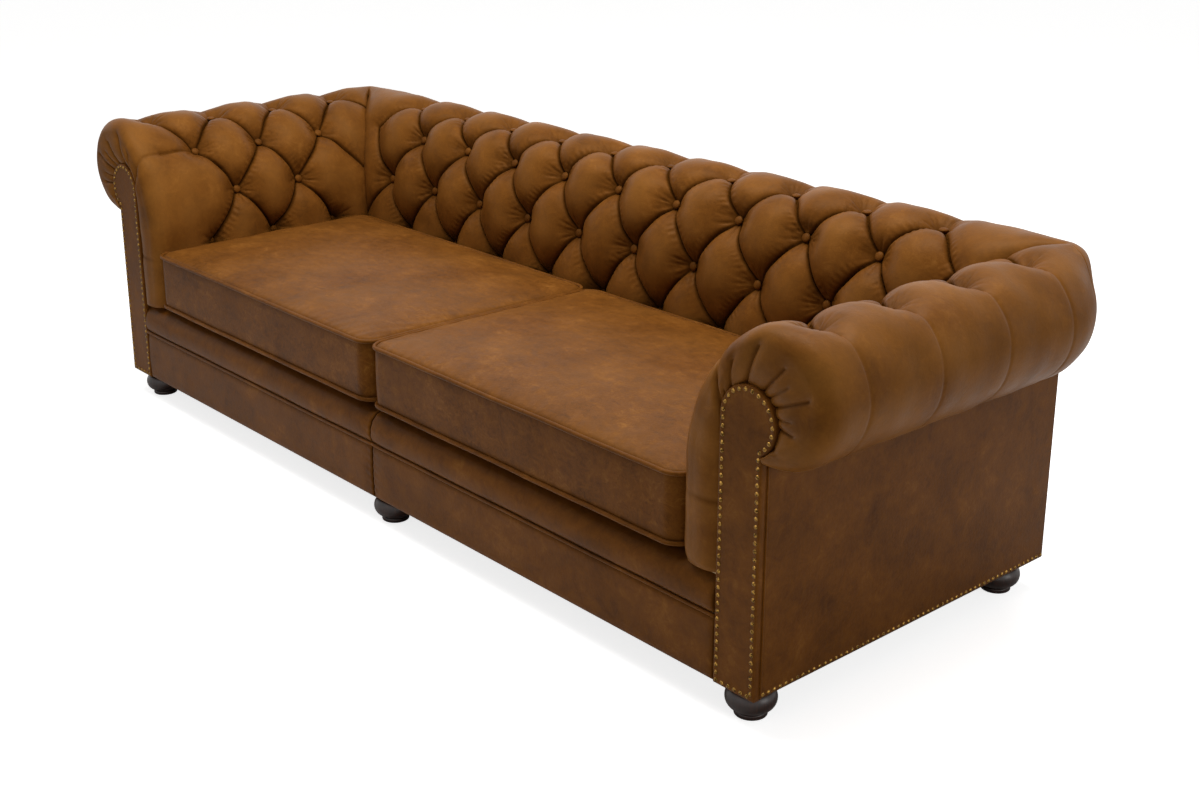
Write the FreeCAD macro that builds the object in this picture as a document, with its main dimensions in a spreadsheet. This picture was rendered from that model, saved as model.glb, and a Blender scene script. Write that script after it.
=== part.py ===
"""A three-seat chesterfield sofa with rolled arms, a deep buttoned back and two loose seat cushions.

Lengths are millimetres. +X is the sofa's right seen from the front, +Y is its back and +Z is up. The
origin is on the floor under the middle of the whole sofa. A rolled section is drawn in two numbers: the
distance inward from the roll's axis, and the height above the floor.
"""
import FreeCAD, Part
import Sketcher

import math
import os
import re

from FreeCAD import Vector

SIZES = (
    ("body_width", 2408, "outer face of one side panel to the other"),
    ("body_depth", 902, "front of the arm facings to the outer back panel"),
    ("foot_height", 69, "floor to the underside of the body"),
    ("roll_radius", 123, "rolled top of the arms and back"),
    ("roll_rise", 582, "underside of the body to the axis of the roll"),
    ("flare_rise", 411, "underside of the body to where the inside starts to lean out"),
    ("arm_roll_outset", 16, "roll axis outside the side panel's face"),
    ("back_roll_inset", 55, "roll axis inside the back panel's face"),
    ("arm_thickness", 195, "side panel's face to the inside of the arm at the seat"),
    ("back_thickness", 221, "back panel's face to the inside of the back at the seat"),
    ("pad_thickness", 52, "upholstery over the frame on arms and back"),
    ("pad_nose", 14, "how far the front end of an arm pad draws in"),
    ("pad_nose_length", 28, "length of that rounded front end"),
    ("button_pitch_back", 207, "button to button along the back"),
    ("button_pitch_arm", 200, "button to button along an arm"),
    ("button_row_pitch", 143, "button row to button row, round the section"),
    ("arm_button_front", 105, "front face to the first dimple on top of an arm"),
    ("button_depth", 42, "pillow crest to the seat of a button"),
    ("top_button_depth", 27, "the same on top of the roll"),
    ("button_radius", 11, "leather covered button"),
    ("button_room", 2, "round the button at the bottom of its hollow"),
    ("tuft_radius", 42, "mouth of a button's hollow"),
    ("pleat_depth", 13, "depth of a pleat beside a button"),
    ("panel_thickness", 6, "leather covered side and back panels"),
    ("facing_width", 102, "arm facing below its scroll"),
    ("facing_thickness", 18, "arm facing board with its cover"),
    ("scroll_radius", 66, "round head of the arm facing"),
    ("scroll_rise", 532, "underside of the body to the centre of that head"),
    ("nail_radius", 4.4, "domed brass nail head"),
    ("nail_pitch", 15.6, "nail to nail"),
    ("nail_inset", 8, "row of nails to the edge it follows"),
    ("front_welt_rise", 134, "underside of the body to the welt across the front"),
    ("welt_radius", 4, "leather piping"),
    ("deck_rise", 219, "underside of the body to the deck under the cushions"),
    ("band_bulge", 5, "how far the padded front band stands proud"),
    ("band_depth", 90, "front face to the rear of the padded front band"),
    ("band_round", 58, "front face to the end of the band's rounded nose"),
    ("cover_thickness", 8, "leather and wadding on the front rail"),
    ("cover_hem", 4, "frame underside above the lower edge of the panels"),
    ("rail_setback", 23, "front face to the front rail"),
    ("board_thickness", 28, "frame timber"),
    ("webbing_thickness", 3, "elastic webbing"),
    ("webbing_width", 60, "elastic webbing"),
    ("webbing_pitch", 160, "lengthways strap to strap in the seat"),
    ("cross_webbing_pitch", 138, "crossways strap to strap in the seat"),
    ("low_strap_rise", 36, "deck to the lower strap of the arms and the back"),
    ("high_strap_rise", 132, "deck to their upper strap"),
    ("deck_pad_thickness", 24, "felt pad of the deck"),
    ("deck_cloth_thickness", 2, "platform cloth"),
    ("dust_cover_thickness", 1.5, "black cloth under the sofa"),
    ("top_rail_width", 70, "rail inside the roll"),
    ("top_rail_height", 40, "rail inside the roll"),
    ("cushion_base_crown", 17, "bulge under the cushion's lower welt"),
    ("cushion_boxing", 139, "lower welt to upper welt"),
    ("cushion_crown", 33, "bulge over the upper welt"),
    ("cushion_draw", 4, "how far the boxing draws in at mid height"),
    ("cushion_set", 2.5, "boxing behind the outermost line of the welts"),
    ("cushion_overhang", 5, "cushion's front in front of the facings"),
    ("cushion_back_gap", 9, "cushion's rear to the back pad, where the zip lies"),
    ("cushion_corner", 45, "plan corner radius"),
    ("cushion_cover", 3, "leather cover and its wadding"),
    ("soft_gap", 0.3, "between soft pieces and what they lie against"),
    ("cushion_side_gap", 0.6, "between the cushions and beside the arms"),
    ("zip_height", 14, "zip tape"),
    ("zip_thickness", 2, "zip tape with its coil"),
    ("zip_end_gap", 90, "end of the zip to the cushion's corner"),
    ("slider_length", 12, "zip slider"),
    ("slider_height", 8, "zip slider"),
    ("slider_thickness", 3, "zip slider"),
    ("foot_bun_radius", 25, "round of the turned bun foot, seen from the side"),
    ("foot_disc_radius", 32, "disc the foot stands on"),
    ("foot_disc_height", 10, "disc the foot stands on"),
    ("foot_waist_radius", 28, "turned waist between disc and bun"),
    ("foot_neck_radius", 36, "top of the foot"),
    ("foot_bun_rise", 14, "floor to the lower edge of the bun"),
    ("foot_bun_drop", 8, "upper edge of the bun below the body"),
    ("foot_side_inset", 60, "side panel's face to the foot's axis"),
    ("foot_front_inset", 61, "front face to the foot's axis"),
    ("foot_back_inset", 77, "back panel's face to the foot's axis"),
    ("foot_bolt_radius", 4, "hanger bolt"),
    ("foot_bolt_depth", 34, "hanger bolt inside the foot"),
    ("foot_bolt_gap", 0.15, "round the hanger bolt"),
    ("foot_block_height", 27, "mounting block over a foot"),
    ("foot_block_reach", 45, "mounting block beyond the foot's axis"),
    ("nut_radius", 10, "flange of the nut on a hanger bolt"),
    ("nut_thickness", 2, "flange of the nut on a hanger bolt"),
    ("corner_block_leg", 70, "glued corner block"),
)

PLACES = {
    "front_face": "-(body_depth + roll_radius - back_roll_inset) / 2",
    "back_face": "front_face + body_depth",
    "side_face": "body_width / 2",
    "arm_roll": "side_face + arm_roll_outset",
    "back_roll": "back_face - back_roll_inset",
    "roll_level": "foot_height + roll_rise",
    "flare_level": "foot_height + flare_rise",
    "arm_reach": "arm_thickness + arm_roll_outset",
    "back_reach": "back_thickness - back_roll_inset",
    "arm_inner": "side_face - arm_thickness",
    "back_inner": "back_face - back_thickness",
    "frame_inset": "pad_thickness + webbing_thickness",
    "deck_top": "foot_height + deck_rise",
    "cloth_bottom": "deck_top - deck_cloth_thickness",
    "pad_bottom": "cloth_bottom - deck_pad_thickness",
    "cross_bottom": "pad_bottom - webbing_thickness",
    "rail_top": "cross_bottom - webbing_thickness",
    "frame_bottom": "foot_height + cover_hem",
    "panel_inner": "side_face - panel_thickness",
    "back_panel_inner": "back_face - panel_thickness",
    "facing_inner": "side_face - facing_width",
    "facing_back": "front_face + facing_thickness",
    "board_front": "facing_back + soft_gap",
    "board_back": "board_front + board_thickness",
    "board_inner": "arm_inner + frame_inset",
    "rail_front": "front_face + rail_setback",
    "rail_back": "rail_front + board_thickness",
    "back_rail_front": "back_panel_inner - board_thickness",
    "side_rail_inner": "panel_inner - board_thickness",
    "rear_board_back": "back_inner - 2 * webbing_thickness",
    "rear_board_front": "rear_board_back - board_thickness",
    "rib_outer": "arm_inner + 2 * pad_thickness",
    "rib_inner": "rib_outer - board_thickness",
    "welt_level": "foot_height + front_welt_rise",
    "welt_room": "welt_radius + soft_gap",
    "rail_room": "roll_radius - pad_thickness",
    "foot_x": "side_face - foot_side_inset",
    "foot_front_y": "front_face + foot_front_inset",
    "foot_back_y": "back_face - foot_back_inset",
    "block_top": "frame_bottom + foot_block_height",
    "cushion_front": "front_face - cushion_overhang",
    "cushion_rear": "back_inner - cushion_back_gap",
    "cushion_inner": "cushion_side_gap",
    "cushion_outer": "arm_inner - cushion_side_gap",
    "cushion_bottom": "deck_top + soft_gap",
    "lower_welt": "cushion_bottom + cushion_base_crown",
    "upper_welt": "lower_welt + cushion_boxing",
    "zip_level": "(lower_welt + upper_welt) / 2",
    "zip_low": "cushion_inner + zip_end_gap",
    "zip_high": "cushion_outer - zip_end_gap",
}

FUNCTIONS = ("sqrt",)
ALONG_X = Vector(1, 0, 0)
ALONG_Y = Vector(0, 1, 0)
ALONG_Z = Vector(0, 0, 1)
RIGHT = 1
LEFT = -1
HEAD_LATITUDE = 30
ROLL_PLEAT_TURN = 175
CONE_SEAM_TURN = 40

document = FreeCAD.newDocument("ChesterfieldSofa")
sizes = document.addObject("Spreadsheet::Sheet", "Sizes")
nodes = []


def fill_sheet():
    """Write the driving dimensions, one to a row, each with its name as an alias."""
    for row, (name, value, note) in enumerate(SIZES, start=1):
        sizes.set("A%d" % row, name)
        sizes.set("B%d" % row, str(value))
        sizes.set("C%d" % row, note)
        sizes.setAlias("B%d" % row, name)
    document.recompute()


def expand(text):
    """Turn the plain words of a formula into references to the sheet's cells."""
    def meaning(match):
        word = match.group(0)
        if word in FUNCTIONS:
            return word
        if word in PLACES:
            return "(" + expand(PLACES[word]) + ")"
        return "Sizes." + word
    return re.sub(r"[a-z][a-z_]*", meaning, text)


def number(text):
    """The value of a formula, for shapes that are worked out here."""
    return float(sizes.evalExpression(expand(text)))


def bind(item, **formulas):
    """Bind properties of an object to formulas."""
    for name, formula in formulas.items():
        item.setExpression(name.replace("__", "."), expand(formula))


def keep(item, label):
    """Make an object a sub-part of the sofa."""
    item.Label = label
    nodes.append(item)
    return item


def box(name, x_span, y_span, z_span):
    """A cuboid between two formulas along each axis."""
    item = document.addObject("Part::Box", name)
    bind(item,
         Length="(%s) - (%s)" % (x_span[1], x_span[0]),
         Width="(%s) - (%s)" % (y_span[1], y_span[0]),
         Height="(%s) - (%s)" % (z_span[1], z_span[0]),
         Placement__Base__x=x_span[0],
         Placement__Base__y=y_span[0],
         Placement__Base__z=z_span[0])
    return item


def cylinder(name, radius, x, y, z_span):
    """An upright cylinder on formulas."""
    item = document.addObject("Part::Cylinder", name)
    bind(item,
         Radius=radius,
         Height="(%s) - (%s)" % (z_span[1], z_span[0]),
         Placement__Base__x=x,
         Placement__Base__y=y,
         Placement__Base__z=z_span[0])
    return item


def group(name, items):
    """Several solids of one kind that make one sub-part."""
    item = document.addObject("Part::Compound", name)
    item.Links = items
    return item


def cut(name, base, tool):
    """One object with another taken out of it."""
    item = document.addObject("Part::Cut", name)
    item.Base = base
    item.Tool = tool
    return item


def mirrored(name, source):
    """The left-hand copy of a right-hand object."""
    item = document.addObject("Part::Mirroring", name)
    item.Source = source
    item.Base = Vector(0, 0, 0)
    item.Normal = ALONG_X
    return item


def shaped(name, shape):
    """An object whose shape is worked out from the sheet's numbers."""
    item = document.addObject("Part::Feature", name)
    item.Shape = shape
    return item


def both_sides(label, right):
    """Keep a right-hand object and its mirrored left-hand copy."""
    keep(right, label + "_right")
    keep(mirrored(label + "_left_copy", right), label + "_left")


def line(start, end):
    return Part.LineSegment(start, end).toShape()


def arc(start, middle, end):
    return Part.Arc(start, middle, end).toShape()


def polygon_prism(corners, direction):
    """Extrude a flat polygon."""
    face = Part.Face(Part.makePolygon(corners + corners[:1]))
    return face.extrude(direction)


class Section:
    """The rolled cross-section of an arm or of the back.

    From the roll's top the outline runs inward on the roll's own circle, leans down on one large arc
    that is tangent to the circle and to the upright inside, and then drops straight to the deck.
    """

    def __init__(self, reach, panel):
        self.reach = number(reach)
        self.panel = number(panel)
        self.radius = number("roll_radius")
        self.level = number("roll_level")
        self.flare = number("flare_level")
        rise = self.level - self.flare
        span = self.reach ** 2 + rise ** 2 - self.radius ** 2
        self.side_radius = span / (2 * (self.reach - self.radius))
        self.side_centre = self.reach - self.side_radius
        self.turn = math.atan2(rise, -self.side_centre)
        self.top_length = self.radius * (math.pi / 2 - self.turn)
        self.side_length = self.side_radius * self.turn

    def on_roll(self, angle, radius):
        return (radius * math.cos(angle), self.level + radius * math.sin(angle))

    def on_side(self, angle, radius):
        return (self.side_centre + radius * math.cos(angle), self.flare + radius * math.sin(angle))

    def crest(self, distance):
        """Place and outward direction at a distance round the outline from the top of the roll."""
        if distance <= self.top_length:
            angle = math.pi / 2 - distance / self.radius
            place = self.on_roll(angle, self.radius)
        elif distance <= self.top_length + self.side_length:
            angle = self.turn - (distance - self.top_length) / self.side_radius
            place = self.on_side(angle, self.side_radius)
        else:
            angle = 0
            drop = distance - self.top_length - self.side_length
            place = (self.reach, self.flare - drop)
        return place, (math.cos(angle), math.sin(angle))

    def wire(self, at, inset, bottom, panel=None):
        """Closed outline drawn in by an inset, from the panel's plane round to the upright inside."""
        panel = self.panel if panel is None else panel
        roll = self.radius - inset
        side = self.side_radius - inset
        end_angle = 2 * math.pi - math.acos(panel / roll)
        foot = at(panel, bottom)
        inner_foot = at(self.reach - inset, bottom)
        inner_top = at(*self.on_side(0, side))
        shoulder = at(*self.on_roll(self.turn, roll))
        outermost = at(*self.on_roll(math.pi, roll))
        end = at(*self.on_roll(end_angle, roll))
        return Part.Wire([
            line(foot, inner_foot),
            line(inner_foot, inner_top),
            arc(inner_top, at(*self.on_side(self.turn / 2, side)), shoulder),
            arc(shoulder, at(*self.on_roll((self.turn + math.pi) / 2, roll)), outermost),
            arc(outermost, at(*self.on_roll((math.pi + end_angle) / 2, roll)), end),
            line(end, foot),
        ])


def arm_plane(y):
    """Section numbers to places on the right arm."""
    axis = number("arm_roll")
    return lambda inward, level: Vector(axis - inward, y, level)


def back_plane(x):
    """Section numbers to places on the back."""
    axis = number("back_roll")
    return lambda inward, level: Vector(x, axis - inward, level)


def facing_wire(y, grow):
    """Keyhole outline of the right arm's facing."""
    inner = number("facing_inner") - grow
    outer = number("side_face") + grow
    radius = number("scroll_radius") + grow
    centre_x = inner + radius
    level = number("foot_height + scroll_rise")
    bottom = number("foot_height") - grow
    neck_angle = -math.acos((outer - centre_x) / radius)
    middle_angle = (neck_angle + math.pi) / 2
    neck = Vector(outer, y, level + radius * math.sin(neck_angle))
    middle = Vector(centre_x + radius * math.cos(middle_angle), y, level + radius * math.sin(middle_angle))
    shoulder = Vector(inner, y, level)
    inner_foot = Vector(inner, y, bottom)
    outer_foot = Vector(outer, y, bottom)
    return Part.Wire([
        line(inner_foot, outer_foot),
        line(outer_foot, neck),
        arc(neck, middle, shoulder),
        line(shoulder, inner_foot),
    ])


def dome(radius, place, direction):
    """A flat-backed round head."""
    sphere = radius / math.cos(math.radians(HEAD_LATITUDE))
    centre = place - direction * (sphere * math.sin(math.radians(HEAD_LATITUDE)))
    return Part.makeSphere(sphere, centre, direction, HEAD_LATITUDE, 90, 360)


class Tufting:
    """Buttons and pleats on one padded section.

    A button has a row, counted down from the top of the roll, and a place along the pad. A pleat is a
    V-shaped wedge: spread is half its width over its height, and clear is how far the cutting shapes
    stand out past the crest.
    """

    def __init__(self, section, plane, along, pitch):
        self.section = section
        self.plane = plane
        self.along = along
        self.pitch = pitch
        self.row_pitch = number("button_row_pitch")
        self.pleat = number("pleat_depth")
        self.spread = 0.75
        self.clear = 20

    def crest(self, row, station):
        (inward, level), (slope, lift) = self.section.crest(row * self.row_pitch)
        at = self.plane(station)
        place = at(inward, level)
        direction = at(inward + slope, level + lift) - place
        return place, direction

    def depth(self, row):
        return number("top_button_depth") if row == 0 else number("button_depth")

    def hollow(self, row, station):
        """The funnel that a button pulls into the pad, turned so that its seam keeps off the pleats."""
        place, direction = self.crest(row, station)
        depth = self.depth(row)
        seat = number("button_radius + button_room")
        mouth = number("tuft_radius")
        slope = (mouth - seat) / depth
        height = depth + self.clear
        cone = Part.makeCone(seat, seat + slope * height, height, place - direction * depth, direction)
        cone.rotate(place, direction, CONE_SEAM_TURN)
        return cone

    def button(self, row, station):
        place, direction = self.crest(row, station)
        return dome(number("button_radius"), place - direction * self.depth(row), direction)

    def groove(self, first, second):
        """A straight pleat between two places, as a wedge whose edge lies below the crest."""
        start, start_out = self.crest(*first)
        end, end_out = self.crest(*second)
        low = start - start_out * self.pleat
        run = (end - end_out * self.pleat) - low
        out = (start_out + end_out).normalize()
        side = run.cross(out).normalize()
        height = self.pleat + self.clear
        half = side * (height * self.spread)
        return polygon_prism([low, low + out * height + half, low + out * height - half], run)

    def pleat_between(self, first, second):
        """A pleat between two buttons: two straight grooves where the section bends most."""
        middle = ((first[0] + second[0]) / 2, (first[1] + second[1]) / 2)
        if first[0] == 0:
            return [self.groove(first, middle), self.groove(middle, second)]
        return [self.groove(first, second)]

    def outer_pleat(self, station):
        """A pleat from a top button over the outside of the roll."""
        at = self.plane(station)
        top = at(0, self.section.level)
        low = self.section.radius - self.pleat / 2
        height = self.pleat / 2 + self.clear
        half = self.along * (height * self.spread)
        corners = [
            top + ALONG_Z * low,
            top + ALONG_Z * (low + height) + half,
            top + ALONG_Z * (low + height) - half,
        ]
        face = Part.Face(Part.makePolygon(corners + corners[:1]))
        outward = at(-1, self.section.level) - top
        axis = ALONG_Z.cross(outward)
        return face.revolve(top, axis, ROLL_PLEAT_TURN)

    def tools(self, buttons, ends):
        """Everything that the buttons and pleats take out of the pad. A pleat may run to a bare end.

        Neighbours in two rows stand half a pitch apart.
        """
        reach = 0.6 * self.pitch
        shapes = [self.hollow(row, station) for row, station in buttons]
        for first in buttons + ends:
            for second in buttons + ends:
                if second[0] == first[0] + 1 and abs(second[1] - first[1]) < reach:
                    shapes.extend(self.pleat_between(first, second))
        shapes.extend(self.outer_pleat(station) for row, station in buttons if row == 0)
        return shapes


def arm_buttons():
    """Rows and places of the buttons on one arm, the first top dimple near the front.

    Each row has a first place and some room past the back's inside, both in pitches.
    """
    pitch = number("button_pitch_arm")
    first = number("front_face + arm_button_front")
    last = number("back_inner")
    buttons = []
    for row, shift, room in ((0, 0, 0.2), (1, 0.47, -0.2), (2, 0.9, -0.3), (3, 0.4, -0.2)):
        station = first + shift * pitch
        while station < last + room * pitch:
            buttons.append((row, station))
            station += pitch
    return buttons


def back_buttons():
    """Rows and places of the buttons on the back, staggered half a pitch from row to row."""
    pitch = number("button_pitch_back")
    limit = number("arm_inner") - pitch / 4
    buttons = []
    for row in range(4):
        station = pitch / 2 if row % 2 == 0 else 0
        while station < limit:
            buttons.append((row, station))
            if station > 0:
                buttons.append((row, -station))
            station += pitch
    return buttons


def mitre_line(gap):
    """Where the right arm pad meets the back pad, seen from above: roll corner and inner corner."""
    corner = Vector(number("arm_roll"), number("back_roll"), 0)
    inner = Vector(number("arm_inner"), number("back_inner"), 0)
    run = (inner - corner).normalize()
    side = run.cross(ALONG_Z) * gap
    return corner + side, inner + run * number("arm_thickness") + side


def make_pads():
    """The tufted pads of both arms and the back, with their covered buttons.

    The arm pad's front end is rounded off in steps, each a share of the nose's length with a share of
    its draw. The back's rows 1 and 3 run on to a pleat end in the corner, where the arm pad begins.
    """
    bottom = number("deck_top + soft_gap")
    gap = number("soft_gap")
    top = number("roll_level + 2 * roll_radius")
    arm = Section("arm_reach", "arm_roll_outset")
    back = Section("back_reach", "-back_roll_inset")
    pad = number("pad_thickness")
    front = number("front_face") + gap
    nose = number("pad_nose")
    nose_end = front + number("pad_nose_length")
    arm_end = number("back_roll") - gap
    rounding = ((0, 1), (0.12, 0.62), (0.4, 0.2), (1, 0))
    nose_wires = [
        arm.wire(arm_plane(front + share * (nose_end - front)), drawn * nose, bottom)
        for share, drawn in rounding
    ]
    block = Part.makeLoft(nose_wires, True, True)
    body = Part.Face(nose_wires[-1]).extrude(ALONG_Y * (arm_end - nose_end))
    hollow_start = number("facing_back")
    hollow_wire = arm.wire(arm_plane(hollow_start), pad, bottom - pad)
    hollow = Part.Face(hollow_wire).extrude(ALONG_Y * (arm_end - hollow_start + pad))
    facing_room = Part.Face(facing_wire(front - pad, gap)).extrude(ALONG_Y * (hollow_start - front + pad))
    corner, inner = mitre_line(-gap / 2)
    beyond = Vector(corner.x, corner.y + pad, 0)
    mitre = polygon_prism([corner, inner, Vector(inner.x, beyond.y, 0), beyond], ALONG_Z * top)
    tufting = Tufting(arm, arm_plane, ALONG_Y, number("button_pitch_arm"))
    buttons = arm_buttons()
    solid = block.fuse(body).cut([hollow, facing_room, mitre])
    both_sides("arm_pad", shaped("ArmPad", solid.cut(tufting.tools(buttons, [])).removeSplitter()))
    arm_heads = Part.makeCompound([tufting.button(*button) for button in buttons])
    both_sides("arm_buttons", shaped("ArmButtons", arm_heads))

    half = number("arm_roll")
    run = Part.Face(back.wire(back_plane(-half), 0, bottom)).extrude(ALONG_X * (2 * half))
    cavity_wire = back.wire(back_plane(-half - gap), pad, bottom - pad)
    cavity = Part.Face(cavity_wire).extrude(ALONG_X * (2 * half + 2 * gap))
    solid = run.cut(cavity).fuse([corner_shell(back, side) for side in (RIGHT, LEFT)])
    wedges = []
    for side in (RIGHT, LEFT):
        corner, inner = mitre_line(gap / 2)
        corners = [corner, inner, Vector(corner.x + gap, inner.y, 0), Vector(corner.x + gap, corner.y, 0)]
        wedge = polygon_prism(corners, ALONG_Z * top)
        wedges.append(wedge if side == RIGHT else wedge.mirror(Vector(0, 0, 0), ALONG_X))
    tufting = Tufting(back, back_plane, ALONG_X, number("button_pitch_back"))
    buttons = back_buttons()
    solid = solid.cut(wedges)
    corner_place = 5 * number("button_pitch_back")
    ends = [(row, side * corner_place) for row in (1, 3) for side in (RIGHT, LEFT)]
    back_pad = solid.cut(tufting.tools(buttons, ends)).removeSplitter()
    keep(shaped("BackPad", back_pad), "back_pad")
    heads = Part.makeCompound([tufting.button(*button) for button in buttons])
    keep(shaped("BackButtons", heads), "back_buttons")


def corner_shell(section, side):
    """The ball-shaped outer corner where an arm's roll turns into the back's."""
    centre = Vector(number("arm_roll"), number("back_roll"), number("roll_level"))
    outer = section.radius
    inner = outer - number("pad_thickness")
    ball = Part.makeSphere(outer, centre, ALONG_Z, -90, 90, 90)
    ball = ball.cut(Part.makeSphere(inner, centre, ALONG_Z, -90, 90, 90))
    reach = number("arm_roll_outset - soft_gap")
    ring = Part.makeCylinder(outer, reach, centre - ALONG_X * reach, ALONG_X)
    ring = ring.cut(Part.makeCylinder(inner, reach, centre - ALONG_X * reach, ALONG_X))
    window = Part.makeBox(reach, outer, outer, centre - ALONG_X * reach - ALONG_Z * outer)
    shell = ball.fuse(ring.common(window))
    return shell if side == RIGHT else shell.mirror(Vector(0, 0, 0), ALONG_X)


def make_rails():
    """The rails, stretchers and tack rails of the seat frame."""
    keep(box("FrontRail",
             ("-(board_inner - soft_gap)", "board_inner - soft_gap"),
             ("rail_front", "rail_back"),
             ("frame_bottom", "rail_top")), "frame_front_rail")
    keep(box("FrontPacking",
             ("-(facing_inner - soft_gap)", "facing_inner - soft_gap"),
             ("front_face + cover_thickness", "facing_back"),
             ("frame_bottom", "welt_level")), "frame_front_packing")
    keep(box("BackRail",
             ("-panel_inner", "panel_inner"),
             ("back_rail_front", "back_panel_inner"),
             ("frame_bottom", "rail_top")), "frame_back_rail")
    both_sides("frame_side_rail",
               box("SideRail",
                   ("side_rail_inner", "panel_inner"),
                   ("board_back", "back_rail_front"),
                   ("frame_bottom", "cross_bottom")))
    stretchers = [
        box("Stretcher",
            ("%d * body_width / 6 - board_thickness / 2" % side,
             "%d * body_width / 6 + board_thickness / 2" % side),
            ("rail_back", "back_rail_front"),
            ("frame_bottom", "rail_top - webbing_width"))
        for side in (LEFT, RIGHT)
    ]
    keep(group("Stretchers", stretchers), "frame_stretchers")
    both_sides("frame_arm_tack_rail",
               box("ArmTackRail",
                   ("board_inner", "board_inner + board_thickness"),
                   ("board_back", "rear_board_front"),
                   ("pad_bottom", "deck_top")))
    keep(box("BackTackRail",
             ("-rib_inner", "rib_inner"),
             ("back_inner + frame_inset", "back_inner + frame_inset + board_thickness"),
             ("pad_bottom", "deck_top")), "frame_back_tack_rail")
    both_sides("frame_arm_top_rail",
               box("ArmTopRail",
                   ("arm_roll - top_rail_width / 2", "arm_roll + top_rail_width / 2"),
                   ("board_back", "rear_board_front"),
                   ("roll_level - top_rail_height / 2", "roll_level + top_rail_height / 2")))
    keep(box("BackTopRail",
             ("-rib_inner", "rib_inner"),
             ("back_roll - top_rail_width / 2", "back_roll + top_rail_width / 2"),
             ("roll_level - top_rail_height / 2", "roll_level + top_rail_height / 2")),
         "frame_back_top_rail")
    studs = [
        box("BackStud",
            ("%d * webbing_pitch - board_thickness / 2" % place,
             "%d * webbing_pitch + board_thickness / 2" % place),
            ("back_roll - top_rail_width / 2", "back_panel_inner"),
            ("rail_top", "roll_level - top_rail_height / 2"))
        for place in (-2, 2)
    ]
    keep(group("BackStuds", studs), "frame_back_studs")


def make_shaped_boards():
    """The boards cut to the rolled section, which give the arms and the back their shape."""
    arm = Section("arm_reach", "arm_roll_outset + panel_thickness")
    back = Section("back_reach", "panel_thickness - back_roll_inset")
    inset = number("frame_inset")
    thick = number("board_thickness")
    front = Part.Face(arm.wire(arm_plane(number("board_front")), inset, number("frame_bottom")))
    both_sides("frame_arm_front_board", shaped("ArmFrontBoard", front.extrude(ALONG_Y * thick)))
    rear = Part.Face(arm.wire(arm_plane(number("rear_board_front")), inset, number("cross_bottom")))
    rear = rear.extrude(ALONG_Y * thick)
    pair = Part.makeCompound([rear, rear.mirror(Vector(0, 0, 0), ALONG_X)])
    keep(shaped("ArmRearBoards", pair), "frame_arm_rear_boards")
    rib = Part.Face(back.wire(back_plane(number("rib_inner")), inset, number("rail_top")))
    rib = rib.extrude(ALONG_X * thick)
    pair = Part.makeCompound([rib, rib.mirror(Vector(0, 0, 0), ALONG_X)])
    keep(shaped("BackEndRibs", pair), "frame_back_end_ribs")


def make_blocks():
    """Triangular corner blocks, and the mounting block over each foot with its bolt and nut."""
    leg = number("corner_block_leg")
    low = number("block_top + nut_radius")
    height = number("rail_top - webbing_width") - low
    blocks = []
    for y, turn in ((number("board_back"), 1), (number("back_rail_front"), -1)):
        corner = Vector(number("side_rail_inner"), y, low)
        block = polygon_prism([corner, corner - ALONG_X * leg, corner + ALONG_Y * (leg * turn)],
                              ALONG_Z * height)
        blocks.append(block)
        blocks.append(block.mirror(Vector(0, 0, 0), ALONG_X))
    keep(shaped("CornerBlocks", Part.makeCompound(blocks)), "frame_corner_blocks")

    reach = "foot_block_reach"
    hole = number("foot_bolt_radius + foot_bolt_gap")
    solids = []
    bolts = []
    for label, x, y in foot_places():
        outer = "side_rail_inner" if "foot_x" in x else reach
        inner = "foot_x - " + reach if "foot_x" in x else "-" + reach
        if "front" in y:
            near = "board_back" if "foot_x" in x else "rail_back"
            far = y + " + " + reach
        else:
            near = y + " - " + reach
            far = "back_rail_front"
        place = Vector(number(x), number(y), 0)
        x_low, x_high = number(inner), number(outer)
        if place.x < 0:
            x_low, x_high = -x_high, -x_low
        block = Part.makeBox(x_high - x_low, number(far) - number(near), number("foot_block_height"),
                             Vector(x_low, number(near), number("frame_bottom")))
        bore = Part.makeCylinder(hole, number("block_top"), place)
        solids.append(block.cut(bore))
        bolts.append(hanger_bolt(place))
    keep(shaped("FootBlocks", Part.makeCompound(solids)), "foot_blocks")
    keep(shaped("FootBolts", Part.makeCompound(bolts)), "foot_bolts")


def hanger_bolt(place):
    """A bolt that stands in the foot and is held by a flanged nut on top of its block."""
    low = number("frame_bottom - foot_bolt_depth")
    top = number("block_top")
    bolt = Part.makeCylinder(number("foot_bolt_radius"), top - low, place + ALONG_Z * low)
    nut = Part.makeCylinder(number("nut_radius"), number("nut_thickness"), place + ALONG_Z * top)
    return bolt.fuse(nut).removeSplitter()


def foot_places():
    """Label and axis of each of the six feet."""
    rows = (("front", "foot_front_y"), ("back", "foot_back_y"))
    columns = (("left", "-foot_x"), ("centre", "0"), ("right", "foot_x"))
    return [("foot_%s_%s" % (row, column), x, y) for row, y in rows for column, x in columns]


def new_sketch(name, role):
    """A body with an empty sketch on one of its own planes."""
    body = document.addObject("PartDesign::Body", name)
    sketch = body.newObject("Sketcher::SketchObject", name + "Outline")
    plane = [feature for feature in body.Origin.OriginFeatures if feature.Role == role][0]
    sketch.AttachmentSupport = (plane, [""])
    sketch.MapMode = "FlatFace"
    return body, sketch


def constrain(sketch, formula, kind, *points):
    """Add a dimension whose value follows a formula."""
    index = sketch.addConstraint(Sketcher.Constraint(kind, *points, number(formula)))
    sketch.setExpression("Constraints[%d]" % index, expand(formula))


def close_loop(sketch, count):
    """Join the end of each edge of a sketch to the start of the next."""
    for index in range(count):
        sketch.addConstraint(Sketcher.Constraint("Coincident", index, 2, (index + 1) % count, 1))


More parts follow.
